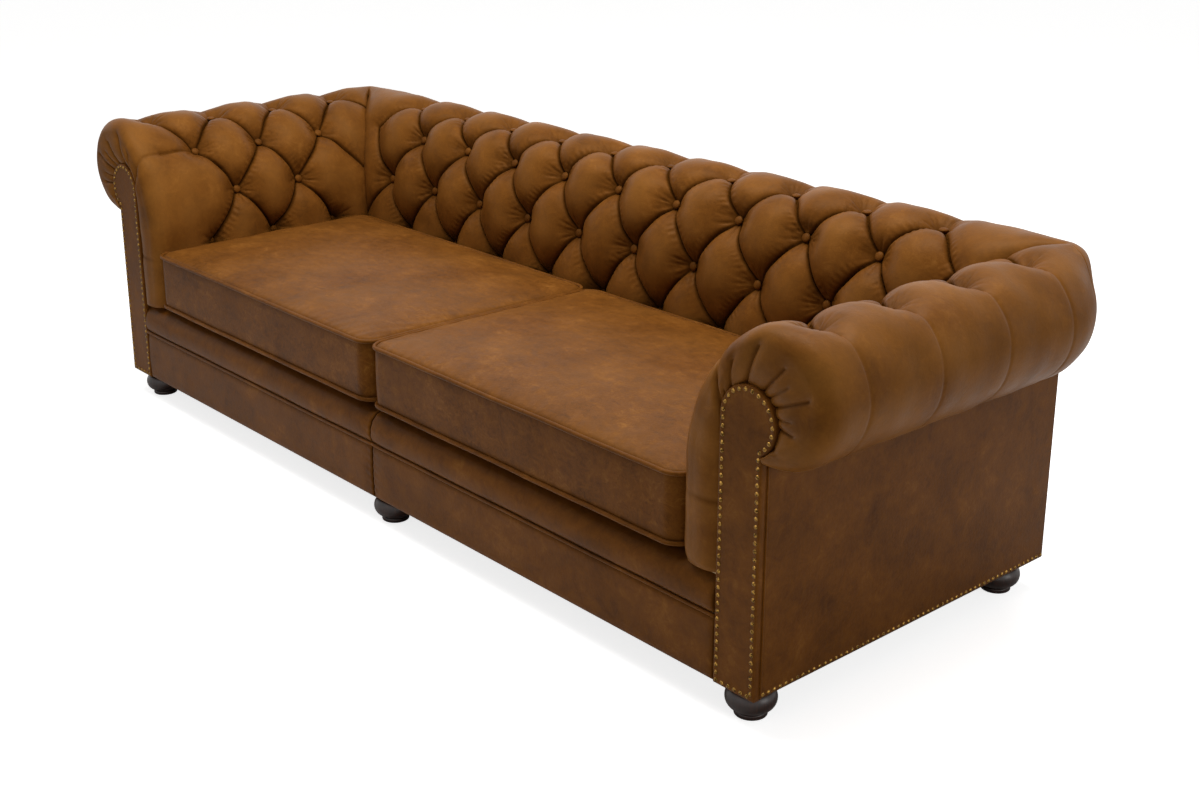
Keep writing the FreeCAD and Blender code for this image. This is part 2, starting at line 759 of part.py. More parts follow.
def square_up(sketch, kind, edges):
    """Make edges of a sketch horizontal or vertical."""
    for edge in edges:
        sketch.addConstraint(Sketcher.Constraint(kind, edge))


def make_feet():
    """Six turned bun feet, each on a small disc, with a bore for its hanger bolt."""
    for label, x, y in foot_places():
        body, sketch = new_sketch(label.title().replace("_", ""), "XZ_Plane")
        disc = number("foot_disc_radius")
        waist = number("foot_waist_radius")
        step = number("foot_disc_height")
        bun_low = number("foot_bun_rise")
        bun_top = number("foot_height - foot_bun_drop")
        neck = number("foot_neck_radius")
        top = number("frame_bottom")
        bore = number("foot_bolt_radius + foot_bolt_gap")
        seat = number("frame_bottom - foot_bolt_depth")
        before = [(0, 0), (disc, 0), (disc, step), (waist, step), (waist, bun_low)]
        after = [(neck, bun_top), (neck, top), (bore, top), (bore, seat), (0, seat), (0, 0)]
        for start, end in zip(before, before[1:]):
            sketch.addGeometry(Part.LineSegment(Vector(*start, 0), Vector(*end, 0)))
        sketch.addGeometry(bun_arc(before[-1], after[0], number("foot_bun_radius")))
        for start, end in zip(after, after[1:]):
            sketch.addGeometry(Part.LineSegment(Vector(*start, 0), Vector(*end, 0)))
        bind_foot(sketch)
        turned = body.newObject("PartDesign::Revolution", label.title().replace("_", "") + "Turned")
        turned.Profile = sketch
        turned.ReferenceAxis = (sketch, ["V_Axis"])
        turned.Angle = 360
        bind(body, Placement__Base__x=x, Placement__Base__y=y)
        keep(body, label)


def bun_arc(start, end, radius):
    """The round of the bun, from its lower to its upper edge, bulging outward."""
    chord = Vector(end[0] - start[0], end[1] - start[1], 0)
    middle = Vector(start[0], start[1], 0) + chord * 0.5
    inward = Vector(-chord.y, chord.x, 0).normalize()
    offset = math.sqrt(radius ** 2 - (chord.Length / 2) ** 2)
    widest = middle - inward * (radius - offset)
    return Part.Arc(Vector(*start, 0), widest, Vector(*end, 0))


def bind_foot(sketch):
    """Tie the foot's outline to the sheet: edge 4 is the bun and edges 0 to 9 run round it."""
    sketch.addConstraint(Sketcher.Constraint("Coincident", 0, 1, -1, 1))
    close_loop(sketch, 10)
    square_up(sketch, "Horizontal", (0, 2, 6, 8))
    square_up(sketch, "Vertical", (1, 3, 5, 7, 9))
    constrain(sketch, "foot_disc_radius", "DistanceX", -1, 1, 1, 1)
    constrain(sketch, "foot_disc_height", "DistanceY", -1, 1, 2, 1)
    constrain(sketch, "foot_waist_radius", "DistanceX", -1, 1, 3, 1)
    constrain(sketch, "foot_bun_rise", "DistanceY", -1, 1, 4, 1)
    constrain(sketch, "foot_bun_radius", "Radius", 4)
    constrain(sketch, "foot_neck_radius", "DistanceX", -1, 1, 5, 1)
    constrain(sketch, "foot_height - foot_bun_drop", "DistanceY", -1, 1, 5, 1)
    constrain(sketch, "frame_bottom", "DistanceY", -1, 1, 6, 1)
    constrain(sketch, "foot_bolt_radius + foot_bolt_gap", "DistanceX", -1, 1, 7, 1)
    constrain(sketch, "frame_bottom - foot_bolt_depth", "DistanceY", -1, 1, 8, 1)


def make_facings():
    """The keyhole-shaped leather facings on the fronts of the arms."""
    body, sketch = new_sketch("Facing", "XZ_Plane")
    width = number("facing_width")
    radius = number("scroll_radius")
    rise = number("scroll_rise")
    neck_angle = -math.acos((width - radius) / radius)
    neck_rise = rise + radius * math.sin(neck_angle)
    sketch.addGeometry(Part.LineSegment(Vector(0, 0, 0), Vector(width, 0, 0)))
    sketch.addGeometry(Part.LineSegment(Vector(width, 0, 0), Vector(width, neck_rise, 0)))
    circle = Part.Circle(Vector(radius, rise, 0), ALONG_Z, radius)
    sketch.addGeometry(Part.ArcOfCircle(circle, neck_angle, math.pi))
    sketch.addGeometry(Part.LineSegment(Vector(0, rise, 0), Vector(0, 0, 0)))
    sketch.addConstraint(Sketcher.Constraint("Coincident", 0, 1, -1, 1))
    close_loop(sketch, 4)
    square_up(sketch, "Horizontal", (0,))
    square_up(sketch, "Vertical", (1, 3))
    constrain(sketch, "facing_width", "DistanceX", 0, 1, 0, 2)
    constrain(sketch, "scroll_radius", "DistanceX", -1, 1, 2, 3)
    constrain(sketch, "scroll_rise", "DistanceY", -1, 1, 2, 3)
    constrain(sketch, "scroll_rise", "DistanceY", -1, 1, 3, 1)
    board = body.newObject("PartDesign::Pad", "FacingBoard")
    board.Profile = sketch
    board.Reversed = True
    bind(board, Length="facing_thickness")
    bind(body,
         Placement__Base__x="facing_inner",
         Placement__Base__y="front_face",
         Placement__Base__z="foot_height")
    both_sides("facing", body)

    inset = number("nail_inset")
    row = facing_wire(number("front_face"), -inset)
    count = round(row.Length / number("nail_pitch"))
    places = row.discretize(Number=count + 1)[:-1]
    heads = [dome(number("nail_radius"), place, -ALONG_Y) for place in places]
    both_sides("facing_nails", shaped("FacingNails", Part.makeCompound(heads)))
    start = Vector(number("side_face"),
                   number("facing_back") + inset,
                   number("foot_height") + inset)
    length = number("back_face") - number("facing_back") - 2 * inset
    count = round(length / number("nail_pitch"))
    step = ALONG_Y * (length / count)
    heads = [dome(number("nail_radius"), start + step * index, ALONG_X) for index in range(count + 1)]
    both_sides("base_nails", shaped("BaseNails", Part.makeCompound(heads)))


def make_panels():
    """The flat outer panels, the front cover with its welt, and the cloth underneath."""
    side_top = "roll_level - sqrt(rail_room * rail_room - arm_roll_outset * arm_roll_outset) - soft_gap"
    inner = "(back_roll_inset - panel_thickness)"
    back_top = "roll_level - sqrt(rail_room * rail_room - %s * %s) - soft_gap" % (inner, inner)
    both_sides("side_panel",
               box("SidePanel",
                   ("panel_inner", "side_face"),
                   ("facing_back", "back_face"),
                   ("foot_height", side_top)))
    keep(box("OuterBack",
             ("-(panel_inner - soft_gap)", "panel_inner - soft_gap"),
             ("back_panel_inner", "back_face"),
             ("foot_height", back_top)), "outer_back")
    keep(box("FrontCover",
             ("-(facing_inner - soft_gap)", "facing_inner - soft_gap"),
             ("front_face", "front_face + cover_thickness"),
             ("foot_height", "welt_level - welt_room")), "front_cover")
    welt = document.addObject("Part::Cylinder", "FrontWelt")
    welt.Placement = FreeCAD.Placement(Vector(), FreeCAD.Rotation(ALONG_Y, 90))
    bind(welt,
         Radius="welt_radius",
         Height="2 * (facing_inner - soft_gap)",
         Placement__Base__x="-(facing_inner - soft_gap)",
         Placement__Base__y="front_face + welt_radius / 2",
         Placement__Base__z="welt_level")
    keep(welt, "front_welt")
    sheet = box("DustSheet",
                ("-panel_inner", "panel_inner"),
                ("rail_front", "back_panel_inner"),
                ("frame_bottom - dust_cover_thickness", "frame_bottom"))
    holes = [
        cylinder("DustHole", "foot_neck_radius + soft_gap", x, y, ("foot_height", "block_top"))
        for label, x, y in foot_places()
    ]
    tool = document.addObject("Part::MultiFuse", "DustHoles")
    tool.Shapes = holes
    keep(cut("DustCover", sheet, tool), "dust_cover")


def make_front_band():
    """The padded band over the front rail, round in front and level with the deck on top.

    Its front bulges most at 0.3 of its height and turns into the rounded nose at 0.6 of it. The
    nose is an arc from there that meets the flat top at a tangent, so no part rises over the deck.
    With a across and b down from its end to its start, its radius is (a * a + b * b) / (2 * b).
    """
    front = number("front_face")
    bulge = number("band_bulge")
    deck = number("deck_top")
    packing = number("front_face + cover_thickness")
    rail = number("rail_front - soft_gap")
    bed = number("cross_bottom + soft_gap")
    start = number("welt_level")
    lip = number("welt_level + welt_room") + bulge / 5
    rear = number("front_face + band_depth")
    nose = number("front_face + band_round")
    reach = number("facing_inner - soft_gap")
    height = deck - lip
    shoulder = lip + 0.6 * height
    across = nose - (front + bulge / 2)
    down = deck - shoulder
    radius = (across ** 2 + down ** 2) / (2 * down)
    half = math.asin(across / radius) / 2
    plane = lambda y, z: Vector(-reach, y, z)
    outline = Part.Wire([
        line(plane(packing, start), plane(packing, lip)),
        line(plane(packing, lip), plane(front, lip)),
        arc(plane(front, lip), plane(front - bulge, lip + 0.3 * height), plane(front + bulge / 2, shoulder)),
        arc(plane(front + bulge / 2, shoulder),
            plane(nose - radius * math.sin(half), deck - radius * (1 - math.cos(half))),
            plane(nose, deck)),
        line(plane(nose, deck), plane(rear, deck)),
        line(plane(rear, deck), plane(rear, bed)),
        line(plane(rear, bed), plane(rail, bed)),
        line(plane(rail, bed), plane(rail, start)),
        line(plane(rail, start), plane(packing, start)),
    ])
    band = Part.Face(outline).extrude(ALONG_X * (2 * reach))
    inner = number("board_inner - soft_gap")
    depth = number("band_depth")
    notch = Part.makeBox(depth, depth, deck, Vector(inner, number("facing_back"), 0))
    band = band.cut([notch, notch.mirror(Vector(0, 0, 0), ALONG_X)])
    keep(shaped("FrontBand", band), "front_band")


def make_deck():
    """Webbing straps over the seat frame, and the felt and cloth of the deck."""
    width = "webbing_width / 2"
    straps = []
    x = number("webbing_pitch") / 2
    place = 0.5
    while x + number(width) < number("board_inner - soft_gap"):
        for side in (LEFT, RIGHT):
            centre = "%g * webbing_pitch" % (side * place)
            straps.append(box("LongStrap",
                              (centre + " - " + width, centre + " + " + width),
                              ("rail_front", "back_panel_inner"),
                              ("rail_top", "cross_bottom")))
        place += 1
        x += number("webbing_pitch")
    low = "front_face + band_depth + webbing_width / 2"
    while number(low + " + webbing_width") < number("rear_board_front"):
        straps.append(box("CrossStrap",
                          ("-panel_inner", "panel_inner"),
                          (low, low + " + webbing_width"),
                          ("cross_bottom", "pad_bottom")))
        low += " + cross_webbing_pitch"
    keep(group("SeatWebbing", straps), "seat_webbing")
    arm_straps = []
    back_straps = []
    for rise in ("low_strap_rise", "high_strap_rise"):
        low = "deck_top + " + rise
        levels = (low, low + " + webbing_width")
        strap = box("ArmStrap",
                    ("arm_inner + pad_thickness + soft_gap", "board_inner"),
                    ("board_front", "rear_board_back"),
                    levels)
        arm_straps.extend([strap, mirrored("ArmStrapCopy", strap)])
        back_straps.append(box("BackStrap",
                               ("-rib_outer", "rib_outer"),
                               ("back_inner + pad_thickness + soft_gap", "back_inner + frame_inset"),
                               levels))
    keep(group("ArmWebbing", arm_straps), "arm_webbing")
    keep(group("BackWebbing", back_straps), "back_webbing")
    x_span = ("-(board_inner - soft_gap)", "board_inner - soft_gap")
    y_span = ("front_face + band_depth + soft_gap", "back_inner + pad_thickness - soft_gap")
    keep(box("DeckPad", x_span, y_span, ("pad_bottom", "cloth_bottom")), "deck_pad")
    keep(box("DeckCloth", x_span, y_span, ("cloth_bottom", "deck_top")), "deck_cloth")


def rounded_rectangle(level, inset, corner):
    """Plan outline of the right cushion at a height, drawn in by an inset."""
    x_low = number("cushion_inner") + inset
    x_high = number("cushion_outer") - inset
    y_low = number("cushion_front") + inset
    y_high = number("cushion_rear") - inset
    slant = corner * (1 - math.sqrt(0.5))
    at = lambda x, y: Vector(x, y, level)
    return Part.Wire([
        line(at(x_low + corner, y_low), at(x_high - corner, y_low)),
        arc(at(x_high - corner, y_low), at(x_high - slant, y_low + slant), at(x_high, y_low + corner)),
        line(at(x_high, y_low + corner), at(x_high, y_high - corner)),
        arc(at(x_high, y_high - corner), at(x_high - slant, y_high - slant), at(x_high - corner, y_high)),
        line(at(x_high - corner, y_high), at(x_low + corner, y_high)),
        arc(at(x_low + corner, y_high), at(x_low + slant, y_high - slant), at(x_low, y_high - corner)),
        line(at(x_low, y_high - corner), at(x_low, y_low + corner)),
        arc(at(x_low, y_low + corner), at(x_low + slant, y_low + slant), at(x_low + corner, y_low)),
    ])


def cushion_loft(shrink):
    """The crowned cushion with drawn-in sides, made smaller all over by a thickness.

    Each ring has a level, an inset and a corner radius. From below they are the shallow belly, the
    boxing between two 45 degree notches where the welts lie, and the crown.
    """
    lower = number("lower_welt")
    upper = number("upper_welt")
    base = number("cushion_base_crown")
    crown = number("cushion_crown")
    stand = number("cushion_set")
    notch = number("welt_radius") + number("welt_room") * math.sqrt(2)
    drawn = stand + number("cushion_draw")
    corner = number("cushion_corner")
    depth = number("cushion_rear") - number("cushion_front")
    middle = (lower + upper) / 2
    rings = [
        (lower - base, 0.12 * depth, 2 * corner),
        (lower - 0.6 * base, 0.05 * depth, 1.3 * corner),
        (lower - stand, notch + stand, corner - notch - stand),
        (lower + notch - stand, stand, corner - stand),
        (middle, drawn, corner - drawn),
        (upper - notch + stand, stand, corner - stand),
        (upper + stand, notch + stand, corner - notch - stand),
        (upper + 0.45 * crown, 0.07 * depth, 1.3 * corner),
        (upper + 0.78 * crown, 0.16 * depth, 2 * corner),
        (upper + 0.95 * crown, 0.28 * depth, 2.5 * corner),
        (upper + crown, 0.38 * depth, corner),
    ]
    height = (upper + crown - lower + base) / 2
    centre = lower - base + height
    scale = (height - shrink) / height
    wires = [rounded_rectangle(centre + (level - centre) * scale, inset + shrink, round_corner)
             for level, inset, round_corner in rings]
    return Part.makeLoft(wires, True, True)


def make_cushions():
    """Two loose seat cushions: cover, foam core, piping, and a zip with its slider at the rear."""
    cover = number("cushion_cover")
    skin = cushion_loft(0).cut(cushion_loft(cover))
    both_sides("cushion_cover", shaped("CushionCover", skin))
    both_sides("cushion_core", shaped("CushionCore", cushion_loft(cover + number("soft_gap"))))
    welts = []
    for level in ("lower_welt", "upper_welt"):
        radius = number("welt_radius")
        path = rounded_rectangle(number(level), radius, number("cushion_corner") - radius)
        start = path.Edges[0].Vertexes[0].Point
        ring = Part.Wire(Part.makeCircle(number("welt_radius"), start, ALONG_X))
        welts.append(path.makePipeShell([ring], True, False))
    both_sides("cushion_welts", shaped("CushionWelts", Part.makeCompound(welts)))
    zip_front = "cushion_rear - cushion_set - cushion_draw + cushion_draw * zip_height / cushion_boxing"
    tape = (zip_front + " + soft_gap", zip_front + " + soft_gap + zip_thickness")
    both_sides("cushion_zip",
               box("CushionZip",
                   ("zip_low", "zip_high"),
                   tape,
                   ("zip_level - zip_height / 2", "zip_level + zip_height / 2")))
    both_sides("zip_slider",
               box("ZipSlider",
                   ("zip_low", "zip_low + slider_length"),
                   (tape[1] + " + soft_gap", tape[1] + " + soft_gap + slider_thickness"),
                   ("zip_level - slider_height / 2", "zip_level + slider_height / 2")))


def check_model():
    """Stop before anything is written if a feature failed or a shape is missing or invalid."""
    document.recompute()
    for item in document.Objects:
        if "Invalid" in item.State or "Error" in item.State:
            raise RuntimeError("%s is %s" % (item.Label, item.State))
    for node in nodes:
        if node.Shape.isNull() or not node.Shape.isValid():
            raise RuntimeError("%s has no valid shape" % node.Label)


def write_nodes():
    os.makedirs("parts", exist_ok=True)
    for node in nodes:
        node.Shape.exportStep("parts/%s.step" % node.Label)
        print("%-26s %3d solids %9.1f cm3" % (node.Label, len(node.Shape.Solids), node.Shape.Volume / 1000))


fill_sheet()
make_rails()
make_shaped_boards()
make_blocks()
make_feet()
make_panels()
make_facings()
make_front_band()
make_deck()
make_cushions()
make_pads()
check_model()
write_nodes()
print(len(nodes), "nodes")
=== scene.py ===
# %% [markdown]
# # A rolled-arm chesterfield sofa in waxed leather
# The real sofa is a timber frame with thick hair-and-foam pads over it. Buttons pull the leather
# into the pads on a diamond pattern, the spare leather folds into pleats between them, and plain
# covers, nails and turned feet finish the rest. This lesson dresses a fixed CAD frame with those
# soft forms. The sofa's lengths are millimetres until a mesh is written. The camera and the lamps
# are placed in metres.

# %% Load the fixed frame
import math

import bmesh
import bpy
import numpy as np
from mathutils import Matrix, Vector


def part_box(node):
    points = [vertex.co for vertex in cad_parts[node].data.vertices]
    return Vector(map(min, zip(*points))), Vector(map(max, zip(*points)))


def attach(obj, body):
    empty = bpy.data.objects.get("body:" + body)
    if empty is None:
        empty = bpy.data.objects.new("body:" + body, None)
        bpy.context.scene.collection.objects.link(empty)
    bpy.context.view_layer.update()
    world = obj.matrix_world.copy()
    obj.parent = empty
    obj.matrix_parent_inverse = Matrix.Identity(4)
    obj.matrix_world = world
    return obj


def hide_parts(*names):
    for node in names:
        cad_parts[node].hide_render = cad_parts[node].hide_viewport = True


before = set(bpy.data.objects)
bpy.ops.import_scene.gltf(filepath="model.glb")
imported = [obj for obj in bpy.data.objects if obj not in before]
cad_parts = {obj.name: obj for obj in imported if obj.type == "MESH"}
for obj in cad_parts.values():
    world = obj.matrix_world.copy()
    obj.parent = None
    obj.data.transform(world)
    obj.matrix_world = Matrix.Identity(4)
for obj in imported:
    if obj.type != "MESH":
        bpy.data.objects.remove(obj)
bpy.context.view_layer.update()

MM = 0.001

# %% [markdown]
# ## The camera
# The photograph was taken from the sofa's right front, a little above it. The camera's place and
# its three directions were worked out from straight edges of the sofa, and its shift puts the
# horizon where the picture has it. A plain matrix holds all of it.

# %% Camera
CAMERA_PLACE = (2.9413, -2.4063, 1.6151)
CAMERA_RIGHT = (0.65917, 0.75199, 0.0)
CAMERA_UP = (-0.22960, 0.20126, 0.95225)
CAMERA_FORWARD = (-0.71608, 0.62769, -0.30533)

camera_data = bpy.data.cameras.new("photo_camera")
camera_data.sensor_width = 36
camera_data.lens = 48.85
camera_data.shift_x = 0.01185
camera_data.shift_y = -0.0657
camera_data.clip_end = 200
camera = bpy.data.objects.new("photo_camera", camera_data)
camera.matrix_world = Matrix([
    (CAMERA_RIGHT[axis], CAMERA_UP[axis], -CAMERA_FORWARD[axis], CAMERA_PLACE[axis])
    for axis in range(3)
] + [(0, 0, 0, 1)])
bpy.context.scene.collection.objects.link(camera)
bpy.context.scene.camera = camera
print("camera at", CAMERA_PLACE)

# %% [markdown]
# ## Grids of points become meshes
# Each new form is a surface worked out with numpy: a grid of points, row by row. Three small
# helpers turn such grids into closed meshes. One numbers the quads, one closes a thin sheet with
# a coarser inner wall, and one writes the arrays into a mesh.

# %% Mesh helpers
def grid_quads(rows, columns, start=0, wrap=False):
    """Quads of a grid numbered row by row: a point, its right, lower right and lower ones."""
    across = columns if wrap else columns - 1
    row = np.arange(rows - 1)[:, None] * columns
    column = np.arange(across)[None, :]
    after = (column + 1) % columns
    below = row + columns
    quads = np.stack([row + column, row + after, below + after, below + column], axis=-1)
    return quads.reshape(-1, 4) + start


def zip_edges(fine, coarse):
    """Triangles between an edge of many points and one with an eighth as many segments.

    Each coarse point takes the eight fine segments nearest to it. A triangle closes each change.
    """
    step = (len(fine) - 1) // (len(coarse) - 1)
    segment = np.arange(len(fine) - 1)
    owner = (segment + step // 2) // step
    fans = np.stack([fine[:-1], fine[1:], coarse[owner]], axis=-1)
    change = np.arange(len(coarse) - 1)
    between = fine[change * step + step - step // 2]
    joints = np.stack([coarse[change], between, coarse[change + 1]], axis=-1)
    return np.concatenate([fans, joints])


def add_piece(name, points, quads, triangles=None, attributes=None):
    """An object at the origin from points in millimetres, smooth, with point attributes."""
    corners = quads.ravel()
    starts = np.arange(len(quads)) * 4
    if triangles is not None and len(triangles):
        starts = np.concatenate([starts, len(corners) + np.arange(len(triangles)) * 3])
        corners = np.concatenate([corners, triangles.ravel()])
    mesh = bpy.data.meshes.new(name)
    mesh.vertices.add(len(points))
    mesh.vertices.foreach_set("co", (np.asarray(points, dtype=float) * MM).ravel())
    mesh.loops.add(len(corners))
    mesh.loops.foreach_set("vertex_index", corners.astype(np.int32))
    mesh.polygons.add(len(starts))
    mesh.polygons.foreach_set("loop_start", starts.astype(np.int32))
    mesh.update(calc_edges=True)
    mesh.validate()
    mesh.polygons.foreach_set("use_smooth", np.ones(len(mesh.polygons), dtype=bool))
    for label, values in (attributes or {}).items():
        layer = mesh.attributes.new(label, "FLOAT", "POINT")
        layer.data.foreach_set("value", np.asarray(values, dtype=float).ravel())
    piece = bpy.data.objects.new(name, mesh)
    bpy.context.scene.collection.objects.link(piece)
    return piece


def close_up(piece, distance=0.02):
    """Merge points that coincide, drop faces that have no area and turn all faces outward."""
    work = bmesh.new()
    work.from_mesh(piece.data)
    bmesh.ops.remove_doubles(work, verts=work.verts, dist=distance * MM)
    bmesh.ops.dissolve_degenerate(work, edges=work.edges, dist=distance * MM / 4)
    bmesh.ops.recalc_face_normals(work, faces=work.faces)
    open_edges = sum(1 for edge in work.edges if not edge.is_manifold)
    work.to_mesh(piece.data)
    work.free()
    print("%-26s %7d faces, %d open edges" % (piece.name, len(piece.data.polygons), open_edges))
    return piece


def shell(name, outer, inner, attributes):
    """A closed pad: a fine outer grid, a coarse wall behind it, and four rims between them."""
    rows, columns = outer.shape[:2]
    few_rows, few_columns = inner.shape[:2]
    fine = np.arange(rows * columns).reshape(rows, columns)
    few = np.arange(few_rows * few_columns).reshape(few_rows, few_columns) + fine.size
    quads = [grid_quads(rows, columns), grid_quads(few_rows, few_columns, fine.size)[:, ::-1]]
    rims = [
        zip_edges(fine[0], few[0]),
        zip_edges(fine[-1], few[-1])[:, ::-1],
        zip_edges(fine[:, 0], few[:, 0])[:, ::-1],
        zip_edges(fine[:, -1], few[:, -1]),
    ]
    points = np.concatenate([outer.reshape(-1, 3), inner.reshape(-1, 3)])
    padded = {
        label: np.concatenate([values.ravel(), np.zeros(few.size)])
        for label, values in attributes.items()
    }
    return close_up(add_piece(name, points, np.concatenate(quads), np.concatenate(rims), padded))


# %% [markdown]
# ## Falling-off curves
# Three curves shape most details below: a bell across a line, a fade away from an edge, and the
# hollow that a quarter circle makes where two cushions touch.

# %% Curves
def bell(gap, width):
    """One on a line and less on both sides of it: a bell curve of the gap over a width."""
    return np.exp(-(gap / width) ** 2)


def fade(gap, length):
    """One at an edge and less away from it: the exponential of the gap over a length."""
    return np.exp(-gap / length)


def hollow(near):
    """The drop of a quarter circle: nought where near is nought, and one where near is one."""
    return 1 - np.sqrt(1 - near ** 2)


# %% [markdown]
# ## Colour and shader helpers
# Colours are written the way a picture editor shows them, and one function turns them into the
# linear numbers that a renderer works with. Another adds a shader node with its inputs and its
# settings in one line, so that a material reads like a recipe.

# %% Shader helpers
def colour(code):
    """Linear RGBA of an sRGB hex code: the power law of the sRGB standard, undone per channel."""
    channels = [int(code[start:start + 2], 16) / 255 for start in (1, 3, 5)]
    linear = [c / 12.92 if c <= 0.04045 else ((c + 0.055) / 1.055) ** 2.4 for c in channels]
    return (*linear, 1.0)


def connect(tree, made, inputs):
    """Link each input whose value is a socket, and write any other value on it."""
    for key, value in inputs.items():
        if isinstance(value, bpy.types.NodeSocket):
            tree.links.new(value, made.inputs[key])
        else:
            made.inputs[key].default_value = value


def node(tree, kind, inputs, **settings):
    """Add a shader node of a kind, with its inputs and its settings."""
    made = tree.nodes.new("ShaderNode" + kind)
    for label, value in settings.items():
        setattr(made, label, value)
    connect(tree, made, inputs)
    return made


def calculate(tree, operation, *values, clamp=False):
    """The outcome of one sum with sockets and numbers."""
    made = node(tree, "Math", dict(enumerate(values)), operation=operation, use_clamp=clamp)
    return made.outputs[0]


def noise(tree, place, scale, detail, **more):
    """A noise texture, whose broadest features are one metre over its scale."""
    return node(tree, "TexNoise", {"Vector": place, "Scale": scale, "Detail": detail, **more})


def two_tone(tree, factor, low, dark, high, light):
    """A ramp from a dark to a light colour while the factor goes from low to high."""
    ramp = node(tree, "ValToRGB", {"Fac": factor})
    ends = ramp.color_ramp.elements
    ends[0].position, ends[0].color = low, colour(dark)
    ends[1].position, ends[1].color = high, colour(light)
    return ramp


def bump(tree, height, strength, depth, **more):
    """The normal of a surface whose small relief follows a height."""
    made = node(tree, "Bump", {"Height": height, "Strength": strength, "Distance": depth, **more})
    return made.outputs["Normal"]


def new_material(name):
    """An empty node material: its tree, its Principled shader and its object coordinates."""
    material = bpy.data.materials.new(name)
    material.use_nodes = True
    tree = material.node_tree
    place = node(tree, "TexCoord", {}).outputs["Object"]
    return material, tree, tree.nodes["Principled BSDF"], place


def dress(piece, material, body, slot, *nodes):
    """The last steps of every new piece: its material, its body and what it stands for. The slot is
    not used.
    """
    piece.data.materials.append(material)
    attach(piece, body)
    if nodes:
        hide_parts(*nodes)
    return piece


# %% [markdown]
# ## Pull-up leather
# Aniline-dyed leather with a waxed finish is called pull-up leather. The wax shifts where the hide
# is stretched, so crests turn lighter; their lightening also serves as a painted highlight.
# Folds, seams and button funnels get painted shade: a near-black colour and less sheen. The whole
# hide is cloudy, with fine streaks. The sheen is soft and the grain is low. Clouds are about 110 mm
# across, blotches about 30 mm and streaks 8 mm by 60 mm. The grain of the real hide is about 1 mm,
# too fine to show, so it is drawn at about 3 mm, with soft creases 7 mm apart.

# %% Leather
LEATHER_DARK = "#40230b"
LEATHER_MID = "#693e14"
LEATHER_LIGHT = "#94622b"
# Near-black colour of the painted shade in folds, seams and button funnels.
LEATHER_PAINTED_SHADE = "#120701"
WAX_SHEEN = "#e6b070"
STREAK_SCALE = (16.0, 120.0, 120.0)


def leather(name, turn, streaks):
    """Waxed leather whose streaks run along a turned direction.

    The crest attribute lightens it, partly for the wax and partly as a painted highlight. The fold
    attribute is painted shade: it darkens it and takes its sheen away.
    """
    material, tree, shader, place = new_material(name)
    clouds = noise(tree, place, 9.0, 5.0, Roughness=0.62, Distortion=0.4)
    blotches = noise(tree, place, 34.0, 6.0, Roughness=0.68, Distortion=0.8)
    warped = node(tree, "MixRGB", {"Fac": 0.035, "Color1": place,
                  "Color2": blotches.outputs["Color"]}, blend_type="LINEAR_LIGHT")
    along = node(tree, "Mapping", {"Vector": warped.outputs["Color"], "Rotation": turn,
                 "Scale": STREAK_SCALE})
    streak = noise(tree, along.outputs["Vector"], 1.0, 4.0, Roughness=0.65)
    blend = calculate(tree, "MULTIPLY_ADD", clouds.outputs["Fac"], 0.58, -0.25)
    blend = calculate(tree, "MULTIPLY_ADD", blotches.outputs["Fac"], 0.42, blend)
    blend = calculate(tree, "MULTIPLY_ADD", streak.outputs["Fac"], streaks, blend)
    blend = calculate(tree, "SUBTRACT", blend, 0.5 * streaks - 0.2)
    hide = two_tone(tree, blend, 0.18, LEATHER_DARK, 0.86, LEATHER_LIGHT)
    hide.color_ramp.elements.new(0.52).color = colour(LEATHER_MID)
    # Painted highlight on pillow tops, partly the wax's lighter stretch, and painted shade in
    # creases.
    crest_lift_and_highlight = node(tree, "Attribute", {}, attribute_name="crest_lift_and_highlight").outputs["Fac"]
    fold_shade = node(tree, "Attribute", {}, attribute_name="fold_shade").outputs["Fac"]
    lifted_and_highlighted = node(tree, "MixRGB", {"Fac": calculate(tree, "MULTIPLY", crest_lift_and_highlight, 0.5, clamp=True),
                  "Color1": hide.outputs["Color"], "Color2": colour(LEATHER_LIGHT)})
    fold_shaded = node(tree, "MixRGB", {"Fac": calculate(tree, "MULTIPLY", fold_shade, 0.9, clamp=True),
                  "Color1": lifted_and_highlighted.outputs["Color"], "Color2": colour(LEATHER_PAINTED_SHADE)})
    rough = node(tree, "MapRange", {"Value": blotches.outputs["Fac"], "From Min": 0.3,
                 "From Max": 0.7, "To Min": 0.34, "To Max": 0.46})
    # The painted shade also takes the sheen out of creases.
    sheen = node(tree, "MapRange", {"Value": fold_shade, "From Max": 0.5, "To Min": 0.11, "To Max": 0.0})
    grain = node(tree, "TexVoronoi", {"Vector": place, "Scale": 330.0, "Randomness": 1.0},
                 feature="DISTANCE_TO_EDGE")
    low_grain = bump(tree, grain.outputs["Distance"], 0.10, 0.0006)
    creases = noise(tree, place, 150.0, 3.0, Roughness=0.7).outputs["Fac"]
    connect(tree, shader, {
        "Base Color": fold_shaded.outputs["Color"],
        "Roughness": rough.outputs[0],
        "Specular IOR Level": sheen.outputs[0],
        "Specular Tint": colour(WAX_SHEEN),
        "Normal": bump(tree, creases, 0.34, 0.0014, Normal=low_grain),
    })
    return material


pad_leather = leather("waxed_leather_tufted", (0.0, 0.5, 0.9), 0.34)
seat_leather = leather("waxed_leather_seat", (0.0, 0.1, 0.35), 0.66)
panel_leather = leather("waxed_leather_panel", (0.3, 1.2, 0.2), 0.26)

# %% [markdown]
# ## The rolled section
# Both the arms and the back have one kind of outline: a big roll on top, then a long arc that
# leans down and in until it drops straight to the deck. The outline is measured by the distance
# round it from the top of the roll, positive down the inside and negative over the outside. That
# distance, with the place along the pad, is the flat pattern that an upholsterer marks out.

